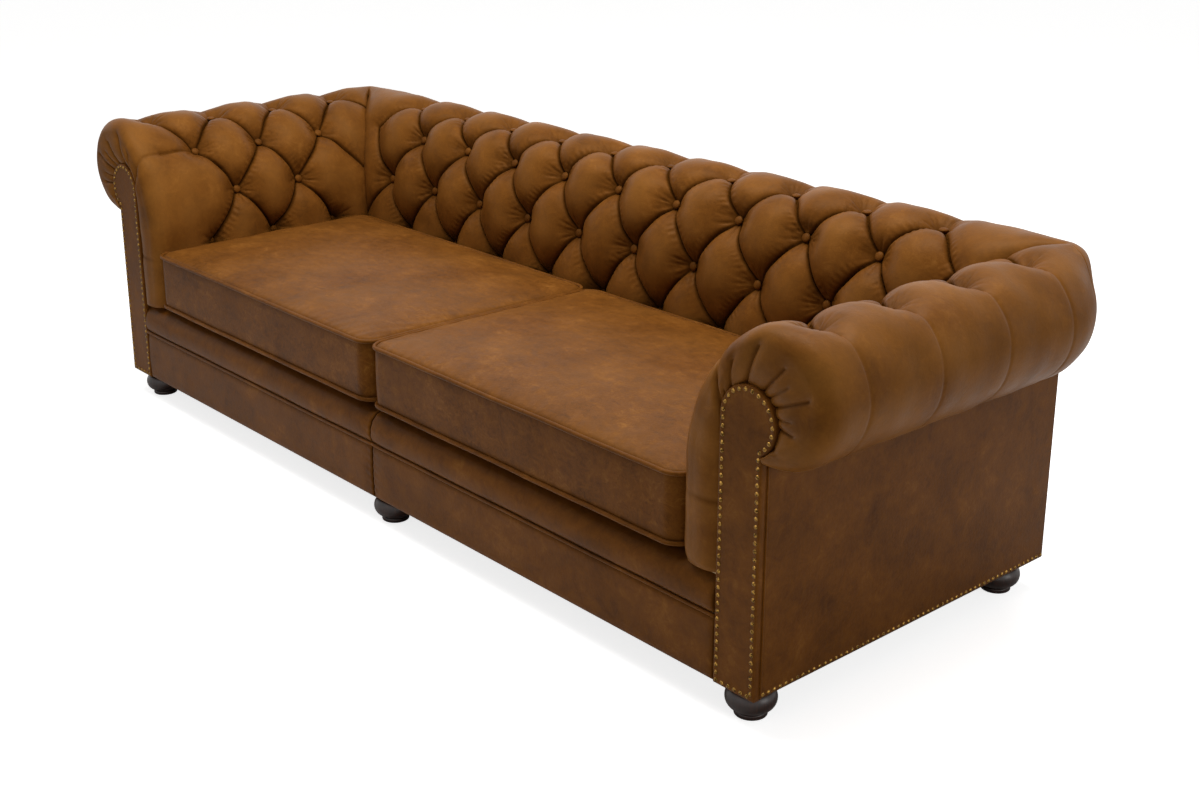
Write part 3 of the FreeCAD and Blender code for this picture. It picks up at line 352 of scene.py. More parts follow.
# %% Section
ROLL_RADIUS = 123.0
ROLL_LEVEL = 651.0
FLARE_LEVEL = 480.0
ARM_AXIS = 1220.0
BACK_AXIS = 362.0
ARM_REACH = 211.0
BACK_REACH = 166.0
FRONT = -485.0
PAD_BOTTOM = 288.5


def section(reach):
    """Radius, centre and turn of the side arc that is tangent to the roll and to the upright."""
    rise = ROLL_LEVEL - FLARE_LEVEL
    radius = (reach ** 2 + rise ** 2 - ROLL_RADIUS ** 2) / (2 * (reach - ROLL_RADIUS))
    centre = reach - radius
    turn = math.atan2(rise, -centre)
    return {"reach": reach, "radius": radius, "centre": centre, "turn": turn,
            "top": ROLL_RADIUS * (math.pi / 2 - turn), "side": radius * turn}


def outline(form, distance):
    """Inward place, height and outward angle at a distance round the section.

    On the roll the angle is a quarter turn less distance over radius, on the side arc it falls with
    that arc's radius, and on the upright it is nought.
    """
    beyond_roll = distance - form["top"]
    beyond_side = beyond_roll - form["side"]

    def pick(roll, side, upright):
        """The value for the part of the outline that each distance has reached."""
        return np.where(beyond_roll <= 0, roll, np.where(beyond_side <= 0, side, upright))

    radius = form["radius"]
    angle = pick(math.pi / 2 - distance / ROLL_RADIUS, form["turn"] - beyond_roll / radius, 0.0)
    inward = pick(ROLL_RADIUS * np.cos(angle), form["centre"] + radius * np.cos(angle),
                  form["reach"])
    level = pick(ROLL_LEVEL + ROLL_RADIUS * np.sin(angle), FLARE_LEVEL + radius * np.sin(angle),
                 FLARE_LEVEL - beyond_side)
    return inward, level, angle


arm_form = section(ARM_REACH)
back_form = section(BACK_REACH)
print("arm section", {key: round(value, 2) for key, value in arm_form.items()})
print("back section", {key: round(value, 2) for key, value in back_form.items()})

# %% [markdown]
# ## Buttons and pleats
# A pleat is a valley with steep, rounded shoulders, like the crease between two cushions. Each is
# drawn as a line in the flat pattern. The fullness of the pad at a point is the product of what
# every nearby pleat leaves of it, so the pillows between them come out round without being drawn.
# Each button adds a funnel and a ring of small wrinkles where the leather gathers.

# %% Tufting
# Heights, widths and lengths on the flat pattern.
PILLOW = 86.0
PILLOW_RISE = 7.0
PLEAT_DEPTH = 34.0
CREASE_WIDTH, CREASE_DEPTH = 3.6, 2.6
FUNNEL_DEPTH = 15.0
FUNNEL_WIDTH = 30.0
FUNNEL_SHADE = 17.0
PATTERN_STEP = 143.0
# The pattern strays from its ruled lines by about this much over this length.
WANDER, WANDER_LENGTH = 5.0, 160.0
DRAG_SPACING, DRAG_PLACE, DRAG_WIDTH, DRAG_RISE = 15.0, 13.0, 9.0, 1.3
WRINKLE_COUNTS = (7, 12, 19)
WRINKLE_PLACE, WRINKLE_WIDTH, WRINKLE_DEPTH = 28.0, 19.0, 3.0


def away_from(along, distance, start, end):
    """Distance of each point of the flat pattern to a line, and its place along that line."""
    run = np.subtract(end, start)
    share = ((along - start[0]) * run[0] + (distance - start[1]) * run[1]) / (run @ run)
    share = np.clip(share, 0, 1)
    gap = np.hypot(along - start[0] - share * run[0], distance - start[1] - share * run[1])
    return gap, share * math.hypot(*run)


def waver(along, distance, size, seed):
    """A smooth, repeatable unevenness: a sum of six sine waves in different directions."""
    draw = np.random.default_rng(seed)
    total = np.zeros(np.broadcast(along, distance).shape)
    for wave in range(6):
        direction = draw.uniform(0, 2 * math.pi)
        length = size * draw.uniform(0.6, 1.6)
        phase = draw.uniform(0, 2 * math.pi)
        across = along * math.cos(direction) + distance * math.sin(direction)
        total += np.sin(across * 2 * math.pi / length + phase)
    return total / 6


def tufted(along, distance, pleats, buttons, seed):
    """Height over the crest, painted shade in pleats, creases and round buttons, and a painted
    highlight on pillow tops that also stands for the wax's lighter stretch.

    Fullness is the product over the pleats of 1 - strength * valley, where the valley's wall is a
    quarter of an ellipse over the pleat's width. Height is the rise less depth times what is lost.
    Drag lines are small waves along a pleat, 15 mm apart, on its shoulders only.
    A button adds a bell-shaped funnel and wrinkles, which are sharp valleys that run out from it,
    and painted shade in both.
    """
    bent_along = along + WANDER * waver(along, distance, WANDER_LENGTH, seed)
    bent_distance = distance + WANDER * waver(along, distance, WANDER_LENGTH, seed + 1)
    fullness = np.ones(along.shape)
    fold_shade, groove, drag_lines = (np.zeros(along.shape) for part in range(3))
    unevenness = waver(along, distance, 130.0, seed + 9)
    for start, end, strength, width in pleats:
        gap, place_along = away_from(bent_along, bent_distance, start, end)
        inside = np.clip(1 - gap / width, 0, 1)
        fullness *= 1 - strength * hollow(inside)
        line = bell(gap, CREASE_WIDTH) * min(1.0, strength + 0.3)
        groove = np.maximum(groove, line)
        wave = np.sin(place_along * 2 * math.pi / DRAG_SPACING + 5.0 * unevenness)
        drag = wave * bell(gap - DRAG_PLACE, DRAG_WIDTH)
        drag_lines += strength * np.clip(0.25 + unevenness, 0, 1) * drag
        # Painted shade along each pleat's crease.
        fold_shade = np.maximum(fold_shade, line * min(1.0, strength + 0.1))
    height = (PILLOW_RISE - PLEAT_DEPTH * (1 - fullness) - CREASE_DEPTH * groove
              + DRAG_RISE * drag_lines)
    draw = np.random.default_rng(seed + 2)
    for place in buttons:
        east = bent_along - place[0]
        south = bent_distance - place[1]
        gap = np.hypot(east, south)
        angle = np.arctan2(south, east)
        height -= FUNNEL_DEPTH * bell(gap, FUNNEL_WIDTH)
        wrinkles = np.zeros(along.shape)
        for count in WRINKLE_COUNTS:
            phase = draw.uniform(0, 2 * math.pi)
            twist = draw.uniform(-0.012, 0.012)
            ridge = np.abs(np.sin((angle * count + phase) / 2 + twist * gap))
            side = 0.55 + 0.45 * np.cos(angle - draw.uniform(0, 2 * math.pi))
            wrinkles += (1 - ridge) ** 2 * side
        ring = bell(gap - WRINKLE_PLACE, WRINKLE_WIDTH)
        height -= WRINKLE_DEPTH * wrinkles * ring
        # Painted shade in the wrinkles and in the button's funnel.
        fold_shade = np.maximum(fold_shade, 0.12 * wrinkles * ring)
        fold_shade = np.maximum(fold_shade, 0.75 * bell(gap, FUNNEL_SHADE))
    height += 1.6 * waver(along, distance, 90.0, seed + 3) * fullness
    # Painted highlight on the full pillow tops, partly the wax's lighter stretch.
    crest_lift_and_highlight = np.clip(fullness, 0, 1) ** 2 * (0.5 + 0.5 * waver(along, distance, 120.0, seed + 4))
    return height, np.clip(fold_shade, 0, 1), np.clip(crest_lift_and_highlight, 0, 1)


def lattice(buttons, pitch):
    """Pleats between each button and its neighbours half a pitch away in the next row."""
    reach = 0.62 * pitch
    return [
        (first, second, 1.0, PILLOW)
        for first in buttons for second in buttons
        if 0.5 * PATTERN_STEP < second[1] - first[1] < 1.5 * PATTERN_STEP
        and abs(second[0] - first[0]) < reach
    ]


# %% [markdown]
# ## Where the arm and the back meet
# Inside, the two pads meet in a mitred seam that runs from the top of the roll down to the seat.
# Outside, the roll goes round the corner as a smooth ball. The seam's own curve is worked out
# once, halfway between the two pads' pinched ends, and each pad is drawn to it.

# %% Mitre
MITRE_SLOPE = BACK_REACH / ARM_REACH
SEAM_PINCH = 0.95
SEAM_WIDTH = 74.0
# The seam's line of painted shade, the reach of its pull on the pads, and how far down the line
# starts.
SEAM_LINE, SEAM_PULL, SEAM_START = 5.0, 55.0, 30.0
# How much closer to the slanting seam a point is than its distance along each pad says.
BACK_SLANT, ARM_SLANT = 0.62, 0.79


def seam_strength(distance):
    """The seam fades out where it runs over the top of the roll."""
    share = np.clip((distance + 25.0) / 85.0, 0, 1)
    return SEAM_PINCH * share * share * (3 - 2 * share)


def to_corner(height, distance, near):
    """Height drawn to one shared value at the corner, so that both pads end at the same points.

    Inside, it falls into the seam's valley. Over the roll the valley fades to the ball's height.
    """
    valley = seam_strength(distance) * hollow(near)
    ball = np.clip(-distance / 40.0, 0, 1)
    shared = (PILLOW_RISE - PLEAT_DEPTH * valley) * (1 - ball) + 3.0 * ball
    weight = near ** 1.5
    return height * (1 - weight) + shared * weight


CORNER_ROUND = 260.0


def rounded_corner(x, y, distance):
    """Plan position drawn in to a corner of 260 mm radius over the outside of the roll.

    Seen from above, the pads' straight outsides and the ball make a square with a small rounded
    corner. A point in it moves toward the large circle's centre by the ratio of the two outlines.
    """
    reach = ROLL_RADIUS
    core = CORNER_ROUND - reach
    east = np.abs(x) - (ARM_AXIS + reach - CORNER_ROUND)
    north = y - (BACK_AXIS + reach - CORNER_ROUND)
    inside = (east > 0) & (north > 0)
    turn = np.arctan2(np.where(inside, north, 1.0), np.where(inside, east, 1.0))
    middle = core * math.sqrt(2)
    across = middle * np.sin(turn - math.pi / 4)
    ball = middle * np.cos(turn - math.pi / 4) + np.sqrt(np.clip(reach ** 2 - across ** 2, 0, None))
    side = CORNER_ROUND / np.maximum(np.cos(turn), np.sin(turn))
    on_ball = np.abs(turn - math.pi / 4) < math.pi / 4 - math.atan(core / CORNER_ROUND)
    old = np.where(on_ball, ball, side)
    share = np.clip(-distance / 150.0, 0, 1)
    weight = share * share * (3 - 2 * share) * inside
    shrink = 1 - (1 - CORNER_ROUND / old) * weight
    moved_x = np.sign(x) * (np.abs(x) - east * (1 - shrink))
    return moved_x, y - north * (1 - shrink)


def pinched_end(form, distance):
    """Inward place and height of a pad's outline where the seam has drawn it in."""
    inward, level, angle = outline(form, distance)
    height = PILLOW_RISE - PLEAT_DEPTH * seam_strength(distance)
    return inward + height * np.cos(angle), level + height * np.sin(angle)


def seam_target(form, distance):
    """Inward place of the shared seam at the height of a pad's own end, in that pad's measure."""
    probe = np.linspace(0, 640, 641)
    arm_in, arm_level = pinched_end(arm_form, probe)
    back_in, back_level = pinched_end(back_form, probe)
    inward, level = pinched_end(form, distance)
    arm_share = np.interp(level, arm_level[::-1], (arm_in / ARM_REACH)[::-1])
    back_share = np.interp(level, back_level[::-1], (back_in / BACK_REACH)[::-1])
    shared = 0.5 * (arm_share + back_share) * form["reach"]
    return np.where(distance > 0, shared, inward)


# %% [markdown]
# ## The back
# The back is one long tufted pad. Its pattern has four staggered rows of buttons. Above the first
# row only a thin pleat runs on from each button over the outside of the roll. Both ends turn into
# the ball corners.

# %% Back pad
BACK_PITCH = 207.0
# Degrees round the roll where the hem lies, along the back and at its corners, and where it
# starts to change and over what length.
HEM_BACK = 243.4
HEM_CORNER = 270.0
HEM_TURN_START, HEM_TURN_LENGTH = 1196.0, 10.0
ROWS_OUT, ROWS_IN, ROWS_LOW = 96, 136, 16
BALL_COLUMNS, BACK_COLUMNS = 24, 760
SEAT_HIDES = 430.0
WALL = 50.0


def row_distances(form):
    """Distances of the rows inside the roll, close together where they show above the seat."""
    end = form["top"] + form["side"] + FLARE_LEVEL - PAD_BOTTOM
    shown = np.linspace(0, SEAT_HIDES, ROWS_IN + 1)
    hidden = np.linspace(SEAT_HIDES, end, ROWS_LOW + 1)[1:]
    return np.concatenate([shown, hidden])


def back_buttons():
    """Buttons as (place along, distance round): rows half a pitch apart in turn."""
    places = []
    for row in range(4):
        shift = 0.5 if row % 2 == 0 else 0.0
        steps = np.arange(-6, 7) + shift
        limit = 4.8 if row != 3 else 4.3
        places += [(BACK_PITCH * step, PATTERN_STEP * row) for step in steps if abs(step) < limit]
    return places


def back_pleats(buttons):
    """The diamond pleats, those into the corner seams, and one over the roll per top button."""
    ends = [(side * 5 * BACK_PITCH, PATTERN_STEP * row) for row in (1, 3) for side in (-1, 1)]
    pleats = lattice(buttons + ends, BACK_PITCH)
    for place, row in buttons:
        if row == 0:
            pleats.append(((place, 8.0), (place, -58.0), 0.30, 40.0))
            pleats.append(((place, -58.0), (place, -330.0), 0.05, 20.0))
    return pleats


def make_back():
    """Rows run round the section and columns along the back, with a fan at each ball corner.

    Inside the roll each row ends on the mitre line, so its columns there fall together.
    """
    inside = row_distances(back_form)
    outside = np.linspace(1, 0, ROWS_OUT + 1)[:-1]
    shares = np.concatenate([-outside, np.zeros(len(inside))])[:, None]
    fan = np.linspace(0, math.pi / 2, BALL_COLUMNS + 1)[1:]
    along_share = np.linspace(-1, 1, BACK_COLUMNS + 1)
    turn = np.concatenate([-fan[::-1], np.zeros(BACK_COLUMNS + 1), fan])[None, :]
    ends = np.ones(BALL_COLUMNS)
    share = np.concatenate([-ends, along_share, ends])[None, :]
    corner = np.clip((np.abs(share) * ARM_AXIS - HEM_TURN_START) / HEM_TURN_LENGTH, 0, 1)
    hem = math.radians(HEM_BACK) + corner * math.radians(HEM_CORNER - HEM_BACK)
    reach_out = ROLL_RADIUS * (hem - math.pi / 2)
    inside_rows = np.concatenate([np.zeros(ROWS_OUT), inside])[:, None]
    distance = np.where(shares < 0, shares * reach_out, inside_rows + 0 * share)
    inward, level, angle = outline(back_form, distance)
    target = seam_target(back_form, distance)
    end_in, _ = pinched_end(back_form, distance)
    seam_in = np.where(distance > 0, target, 0.0)
    end_place = ARM_AXIS - np.clip(seam_in, 0, None) / MITRE_SLOPE
    along = share * end_place
    to_seam = (end_place - np.abs(along)) * BACK_SLANT
    buttons = back_buttons()
    height, fold_shade, crest_lift_and_highlight = tufted(along + turn * ROLL_RADIUS, distance, back_pleats(buttons),
                                 buttons, 11)
    near = np.clip(1 - to_seam / SEAM_WIDTH, 0, 1)
    height = to_corner(height, distance, near)
    # Painted shade along the mitre seam.
    fold_shade = np.maximum(fold_shade, bell(to_seam, SEAM_LINE) * (distance > SEAM_START) * 0.9)
    inner_wall = np.full(height.shape, -WALL)
    result = []
    for raised in (height, inner_wall):
        drawn = inward + raised * np.cos(angle)
        if raised is height:
            drawn = drawn + (target - end_in) * bell(to_seam, SEAM_PULL) * (distance > 0)
        high = level + raised * np.sin(angle)
        over = np.clip(-drawn, 0, None)
        x = np.where(share == 0, 0.0, along)
        x = np.where(np.abs(share) == 1, np.sign(share) * end_place, x)
        x = x + np.sin(turn) * over
        y = BACK_AXIS - np.clip(drawn, 0, None) + np.cos(turn) * over
        y = np.where(turn == 0, BACK_AXIS - drawn, y)
        x, y = rounded_corner(x, y, distance)
        result.append(np.stack([x, y, high], axis=-1))
    outer, inner = result
    pad = shell("back_pad_tufted", outer, inner[::8, ::8], {"fold_shade": fold_shade, "crest_lift_and_highlight": crest_lift_and_highlight})
    return pad, buttons


back_pad, back_button_places = make_back()
dress(back_pad, pad_leather, "sofa_frame", "leather", "back_pad")

# %% [markdown]
# ## The arms
# An arm pad wraps its front end too. Its leather starts under the edge of the keyhole-shaped
# facing, comes forward, turns over a rounded nose and runs back along the roll. Where it turns
# round the scroll it has too much length, so it is gathered into short radiating folds.

# %% Arm pads
NOSE = 34.0
NOSE_LENGTH = 53.0
OUTSIDE_LENGTH = 402.5
# A sewn line low on the front of the pad, and the hem tucked in at the deck.
LOW_SEAM_ROW, LOW_SEAM_WIDTH, LOW_SEAM_DEPTH = 452.0, 3.2, 1.6
HEM_TUCK, HEM_TUCK_LENGTH = 9.0, 10.0
SCROLL_IN, SCROLL_LEVEL, SCROLL_RADIUS = 52.0, 601.0, 66.0
NECK_TURN = math.radians(237.0)
ARM_HEM = math.radians(277.5)
CAP_COLUMNS, NOSE_COLUMNS, ARM_COLUMNS = 24, 8, 248
ARM_ROWS_OUT = 120
ARM_PITCH = 200.0
ARM_FIRST = FRONT + 105.0
GATHERS = ((161, 0.20, 92), (90, 0.24, 84), (22, 0.30, 96), (-62, 0.26, 70), (-104, 0.16, 54),
           (-150, 0.26, 88), (-236, 0.26, 66), (-318, 0.20, 74), (126, 0.12, 48), (-196, 0.14, 50))


def facing_edge(distance):
    """Where the row at a distance starts on the facing's edge.

    The scroll's angle falls evenly from the neck to the top outside, and along the scroll's own arc
    length inside. Below the scroll the edge is straight and stays level with the pad.
    """
    straight = arm_form["top"] + arm_form["side"]
    drop = SCROLL_LEVEL - FLARE_LEVEL
    arc_length = SCROLL_RADIUS * math.pi / 2
    travelled = np.clip(distance, 0, straight) * (arc_length + drop) / straight
    outside = np.clip(-distance / OUTSIDE_LENGTH, 0, 1)
    turn = np.where(distance < 0, math.pi / 2 + (NECK_TURN - math.pi / 2) * outside,
                    math.pi / 2 - np.clip(travelled, 0, arc_length) / SCROLL_RADIUS)
    inward = SCROLL_IN + SCROLL_RADIUS * np.cos(turn)
    level = SCROLL_LEVEL + SCROLL_RADIUS * np.sin(turn)
    level = level - np.clip(travelled - arc_length, 0, None) - np.clip(distance - straight, 0, None)
    return inward, level


def arm_buttons():
    """Buttons of one arm as (place along, distance round), as in the frame."""
    rows = ((0.0, 4), (0.47, 3), (0.9, 2), (0.4, 3))
    return [
        (ARM_FIRST + (shift + step) * ARM_PITCH, PATTERN_STEP * row)
        for row, (shift, count) in enumerate(rows) for step in range(count)
    ]


def arm_pleats(buttons):
    """Diamond pleats, runs into the corner seam and to the front edge, outer pleats and gathers."""
    pleats = lattice(buttons, ARM_PITCH)
    first = buttons[4]
    pleats.append((first, (first[0] - 120.0, first[1] + 10.0), 0.46, 70.0))
    pleats.append(((first[0] - 120.0, first[1] + 10.0), (FRONT - 75.0, 176.0), 0.16, 44.0))
    pleats.append((buttons[3], (296.0, 100.0), 0.9, 80.0))
    pleats.append((buttons[6], (208.0, 286.0), 1.0, PILLOW))
    for place, row in buttons[:4]:
        pleats.append(((place, 6.0), (place + 4.0, -56.0), 0.30, 40.0))
        pleats.append(((place + 4.0, -56.0), (place - 6.0, -402.0), 0.05, 20.0))
    for distance, strength, length in GATHERS:
        inner_end = (FRONT - 20.0 - 92.0 + length, distance * 1.04)
        pleats.append(((FRONT - 130.0, distance), inner_end, strength, 34.0))
    return pleats


def make_arm(side, name, seed):
    """Rows run round the section, columns from the facing's edge over the nose to the mitre.

    The nose is a quarter of an ellipse between the flat front and the roll's side. Each body row
    is stretched to end on the mitre plane.
    """
    outside = np.linspace(-ROLL_RADIUS * (ARM_HEM - math.pi / 2), 0, ARM_ROWS_OUT + 1)[:-1]
    distance = np.concatenate([outside, row_distances(arm_form)])[:, None]
    inward, level, angle = outline(arm_form, distance)
    edge_in, edge_level = facing_edge(distance)
    span = np.hypot(inward - edge_in, level - edge_level)
    round_in = np.minimum(NOSE, 0.8 * span)
    cap = np.linspace(0, 1, CAP_COLUMNS + 1)[None, :-1]
    turn = np.linspace(0, math.pi / 2, NOSE_COLUMNS + 1)[None, :-1]
    body = np.linspace(0, 1, ARM_COLUMNS + 1)[None, :]
    target = seam_target(arm_form, distance)
    end_in, _ = pinched_end(arm_form, distance)
    end_place = np.where(distance > 0, BACK_AXIS - MITRE_SLOPE * target, BACK_AXIS)
    start_place = FRONT + NOSE
    place = np.concatenate([
        FRONT + 9.0 * (1 - cap) ** 3 - 3.0 * np.sin(math.pi * cap) + 0 * distance,
        FRONT + NOSE * (1 - np.cos(turn)) + 0 * distance,
        start_place + body * (end_place - start_place),
    ], axis=1)
    off_edge = np.concatenate([
        span + (round_in - span) * cap,
        round_in * (1 - np.sin(turn)),
        0 * body + 0 * distance,
    ], axis=1)
    tip = np.concatenate([0 * cap, np.sin(turn), 0 * body + 1], axis=1) + 0 * distance
    along = np.concatenate([
        start_place - NOSE_LENGTH - (span - round_in) * (1 - cap),
        start_place - NOSE_LENGTH * (1 - turn / (math.pi / 2)) + 0 * distance,
        start_place + body * (end_place - start_place),
    ], axis=1)
    flat = np.broadcast_to(distance, along.shape)
    buttons = arm_buttons()
    height, fold_shade, crest_lift_and_highlight = tufted(along, flat, arm_pleats(buttons), buttons, seed)
    to_seam = (end_place - along) * ARM_SLANT
    near = np.clip(1 - to_seam / SEAM_WIDTH, 0, 1)
    inner_side = (flat > 0) * 1.0
    height = to_corner(height, flat, near)
    # Painted shade along the mitre seam.
    fold_shade = np.maximum(fold_shade, bell(to_seam, SEAM_LINE) * (flat > SEAM_START) * 0.9)
    slant = 0.05 * (along + 500)
    seam = bell(flat - LOW_SEAM_ROW - slant, LOW_SEAM_WIDTH) * np.clip((-430 - along) / 20, 0, 1)
    height = height - LOW_SEAM_DEPTH * seam
    # Painted shade in the low sewn line.
    fold_shade = np.maximum(fold_shade, 0.45 * seam)
    front_share = np.clip((-along - 440.0) / 60.0, 0, 1)
    height = height - HEM_TUCK * fade(distance[-1, 0] - flat, HEM_TUCK_LENGTH) * tip
    height = height - front_share * (PILLOW_RISE - 1.0) * 0.8
    thick = np.concatenate([6 + 10 * cap, 16 + 14 * turn / (math.pi / 2),
                            30 + 20 * np.clip(body * 12, 0, 1)], axis=1)
    wall = -np.broadcast_to(thick, along.shape)
    result = []
    for raised in (height, wall):
        shown_in = inward + (edge_in - inward) * off_edge / span + raised * tip * np.cos(angle)
        if raised is height:
            shown_in = shown_in + (target - end_in) * bell(to_seam, SEAM_PULL) * inner_side
        high = level + (edge_level - level) * off_edge / span + raised * tip * np.sin(angle)
        y = place - raised * np.sqrt(1 - tip ** 2)
        x, y = rounded_corner(side * (ARM_AXIS - shown_in), y, flat)
        result.append(np.stack([x, y, high], axis=-1))
    outer, inner = result
    pad = shell(name, outer, inner[::8, ::8], {"fold_shade": fold_shade, "crest_lift_and_highlight": crest_lift_and_highlight})
    return pad, buttons


for side, label, seed in ((1, "right", 41), (-1, "left", 71)):
    arm_pad, arm_places = make_arm(side, "arm_pad_tufted_" + label, seed)
    dress(arm_pad, pad_leather, "sofa_frame", "leather", "arm_pad_" + label)

# %% [markdown]
# ## Covered buttons
# Each button is a steel shell with a disc of leather crimped round it. It is a low dome with a
# tight rim and sits at the bottom of its funnel. One dome is worked out and then placed many
# times with arrays of directions.

# %% Buttons
BUTTON_RADIUS = 11.0
BUTTON_SINK = 37.0


def dome_template(radius, rise, rings, sides):
    """Dome points (across, across, out) and faces. The height falls as an ellipse to the rim."""
    lift = np.linspace(0, math.pi / 2, rings + 1)[1:]
    around = np.linspace(0, 2 * math.pi, sides, endpoint=False)
    across = radius * np.sin(lift)[:, None]
    ring = np.stack([across * np.cos(around), across * np.sin(around),
                     rise * np.cos(lift)[:, None] + 0 * around], axis=-1).reshape(-1, 3)
    skirt = ring[-sides:] * (0.86, 0.86, 1) - (0, 0, 0.3 * radius)
    points = np.concatenate([[(0, 0, rise)], ring, skirt, [(0, 0, -0.3 * radius)]])
    quads = grid_quads(rings + 1, sides, start=1, wrap=True)
    turn = np.arange(sides)
    top = np.stack([np.zeros(sides, int), 1 + turn, 1 + (turn + 1) % sides], axis=-1)
    low = 1 + rings * sides
    bottom = np.stack([np.full(sides, low + sides), low + (turn + 1) % sides, low + turn], axis=-1)
    return points, quads, np.concatenate([top, bottom])


def place_copies(template, origins, first, second, out):
    """Copies of a template, each in its own frame of three directions."""
    points, quads, triangles = template
    placed = (origins[:, None, :] + points[None, :, :1] * first[:, None, :]
              + points[None, :, 1:2] * second[:, None, :] + points[None, :, 2:] * out[:, None, :])
    shift = (np.arange(len(origins)) * len(points))[:, None, None]
    return (placed.reshape(-1, 3), (quads[None] + shift).reshape(-1, 4),
            (triangles[None] + shift).reshape(-1, 3))


def make_buttons(name, form, places, spot, node_name):
    """Covered buttons at places in the flat pattern.

    spot turns (place, inward, level) to x, y, z.
    """
    along, distance = np.array(places).T
    inward, level, angle = outline(form, distance)
    sink = np.where(distance == 0, 0.72, 1.0) * BUTTON_SINK
    cosine, sine = np.cos(angle), np.sin(angle)
    base = spot(along, inward - sink * cosine, level - sink * sine)
    out = spot(along, inward - (sink - 1) * cosine, level - (sink - 1) * sine) - base
    first = spot(along + 1, inward - sink * cosine, level - sink * sine) - base
    second = np.cross(out, first)
    template = dome_template(BUTTON_RADIUS, 5.5, 7, 28)
    piece = close_up(add_piece(name, *place_copies(template, base, first, second, out)))
    dress(piece, panel_leather, "sofa_frame", "leather", node_name)


make_buttons("back_buttons_covered", back_form, back_button_places,
             lambda along, inward, level: np.stack([along, BACK_AXIS - inward, level], axis=-1),
             "back_buttons")
for side, label in ((1, "right"), (-1, "left")):
    make_buttons(
        "arm_buttons_covered_" + label, arm_form, arm_places,
        lambda along, inward, level: np.stack([side * (ARM_AXIS - inward), along, level], axis=-1),
        "arm_buttons_" + label)

# %% [markdown]
# ## Seat cushions
# A box cushion has a top, a bottom and a boxing strip between two piped seams. The filling pushes
# the top into a crown, and the boxing draws in a little between the seams. The top starts as a
# rectangle of points whose corners are rounded, and its height depends on the distance to the seam.

# %% Cushions
CUSHION_IN, CUSHION_OUT = 0.6, 1008.4
CUSHION_FRONT, CUSHION_REAR = -490.0, 187.0
LOWER_SEAM, UPPER_SEAM = 305.3, 444.3
CUSHION_BASE = 288.3
CORNER = 45.0
HALF_X = (CUSHION_OUT - CUSHION_IN) / 2
HALF_Y = (CUSHION_REAR - CUSHION_FRONT) / 2
MID_X = (CUSHION_OUT + CUSHION_IN) / 2
MID_Y = (CUSHION_REAR + CUSHION_FRONT) / 2
TOP_COLUMNS, TOP_ROWS, BOXING_ROWS = 168, 112, 24
SEAM_INSET = 4.0
SHOULDER, CROWN = 9.0, 27.0
BOXING_HEIGHT = UPPER_SEAM - LOWER_SEAM
PIPING = 4.6


def rounded(x, y, inset):
    """Grid points of a rectangle with each corner square squeezed into a quarter disc."""
    radius = CORNER - inset
    flat_x = HALF_X - CORNER
    flat_y = HALF_Y - CORNER
    scale_x = np.clip(np.abs(x) - flat_x, 0, None) * radius / CORNER
    scale_y = np.clip(np.abs(y) - flat_y, 0, None) * radius / CORNER
    length = np.hypot(scale_x, scale_y)
    longer = np.maximum(scale_x, scale_y)
    squeeze = np.where(length > 0, longer / np.where(length > 0, length, 1), 1)
    in_x = np.minimum(np.abs(x), flat_x)
    in_y = np.minimum(np.abs(y), flat_y)
    return np.sign(x) * (in_x + scale_x * squeeze), np.sign(y) * (in_y + scale_y * squeeze)


def seam_distance(x, y, inset):
    """Distance inside the rounded rectangle of the seam."""
    over_x = np.abs(x) - (HALF_X - CORNER)
    over_y = np.abs(y) - (HALF_Y - CORNER)
    outside = np.hypot(np.clip(over_x, 0, None), np.clip(over_y, 0, None))
    return (CORNER - inset) - outside - np.minimum(np.maximum(over_x, over_y), 0)


def graded(half, count, power=1.4):
    """Places from -half to half that lie closer together toward both ends: a power of a share."""
    share = np.linspace(-1, 1, count + 1)
    return half * np.sign(share) * (1 - (1 - np.abs(share)) ** power)


def perimeter(inset, per_x, per_y):
    """Points anticlockwise round the rounded rectangle, spaced as the top grid's border is."""
    x = graded(HALF_X, per_x)
    y = graded(HALF_Y, per_y)
    end_x, end_y = np.full(per_y, HALF_X), np.full(per_x, HALF_Y)
    border_x = np.concatenate([x[:-1], end_x, x[:0:-1], -end_x])
    border_y = np.concatenate([-end_y, y[:-1], end_y, y[:0:-1]])
    return rounded(border_x, border_y, inset)


def seam_drift(x, y, seed):
    """The seams of a filled cushion wander a millimetre or two up and down, and sag in mid span."""
    return 1.6 * waver(x, y, 420.0, seed) + 0.5 * waver(x, y, 70.0, seed + 1)


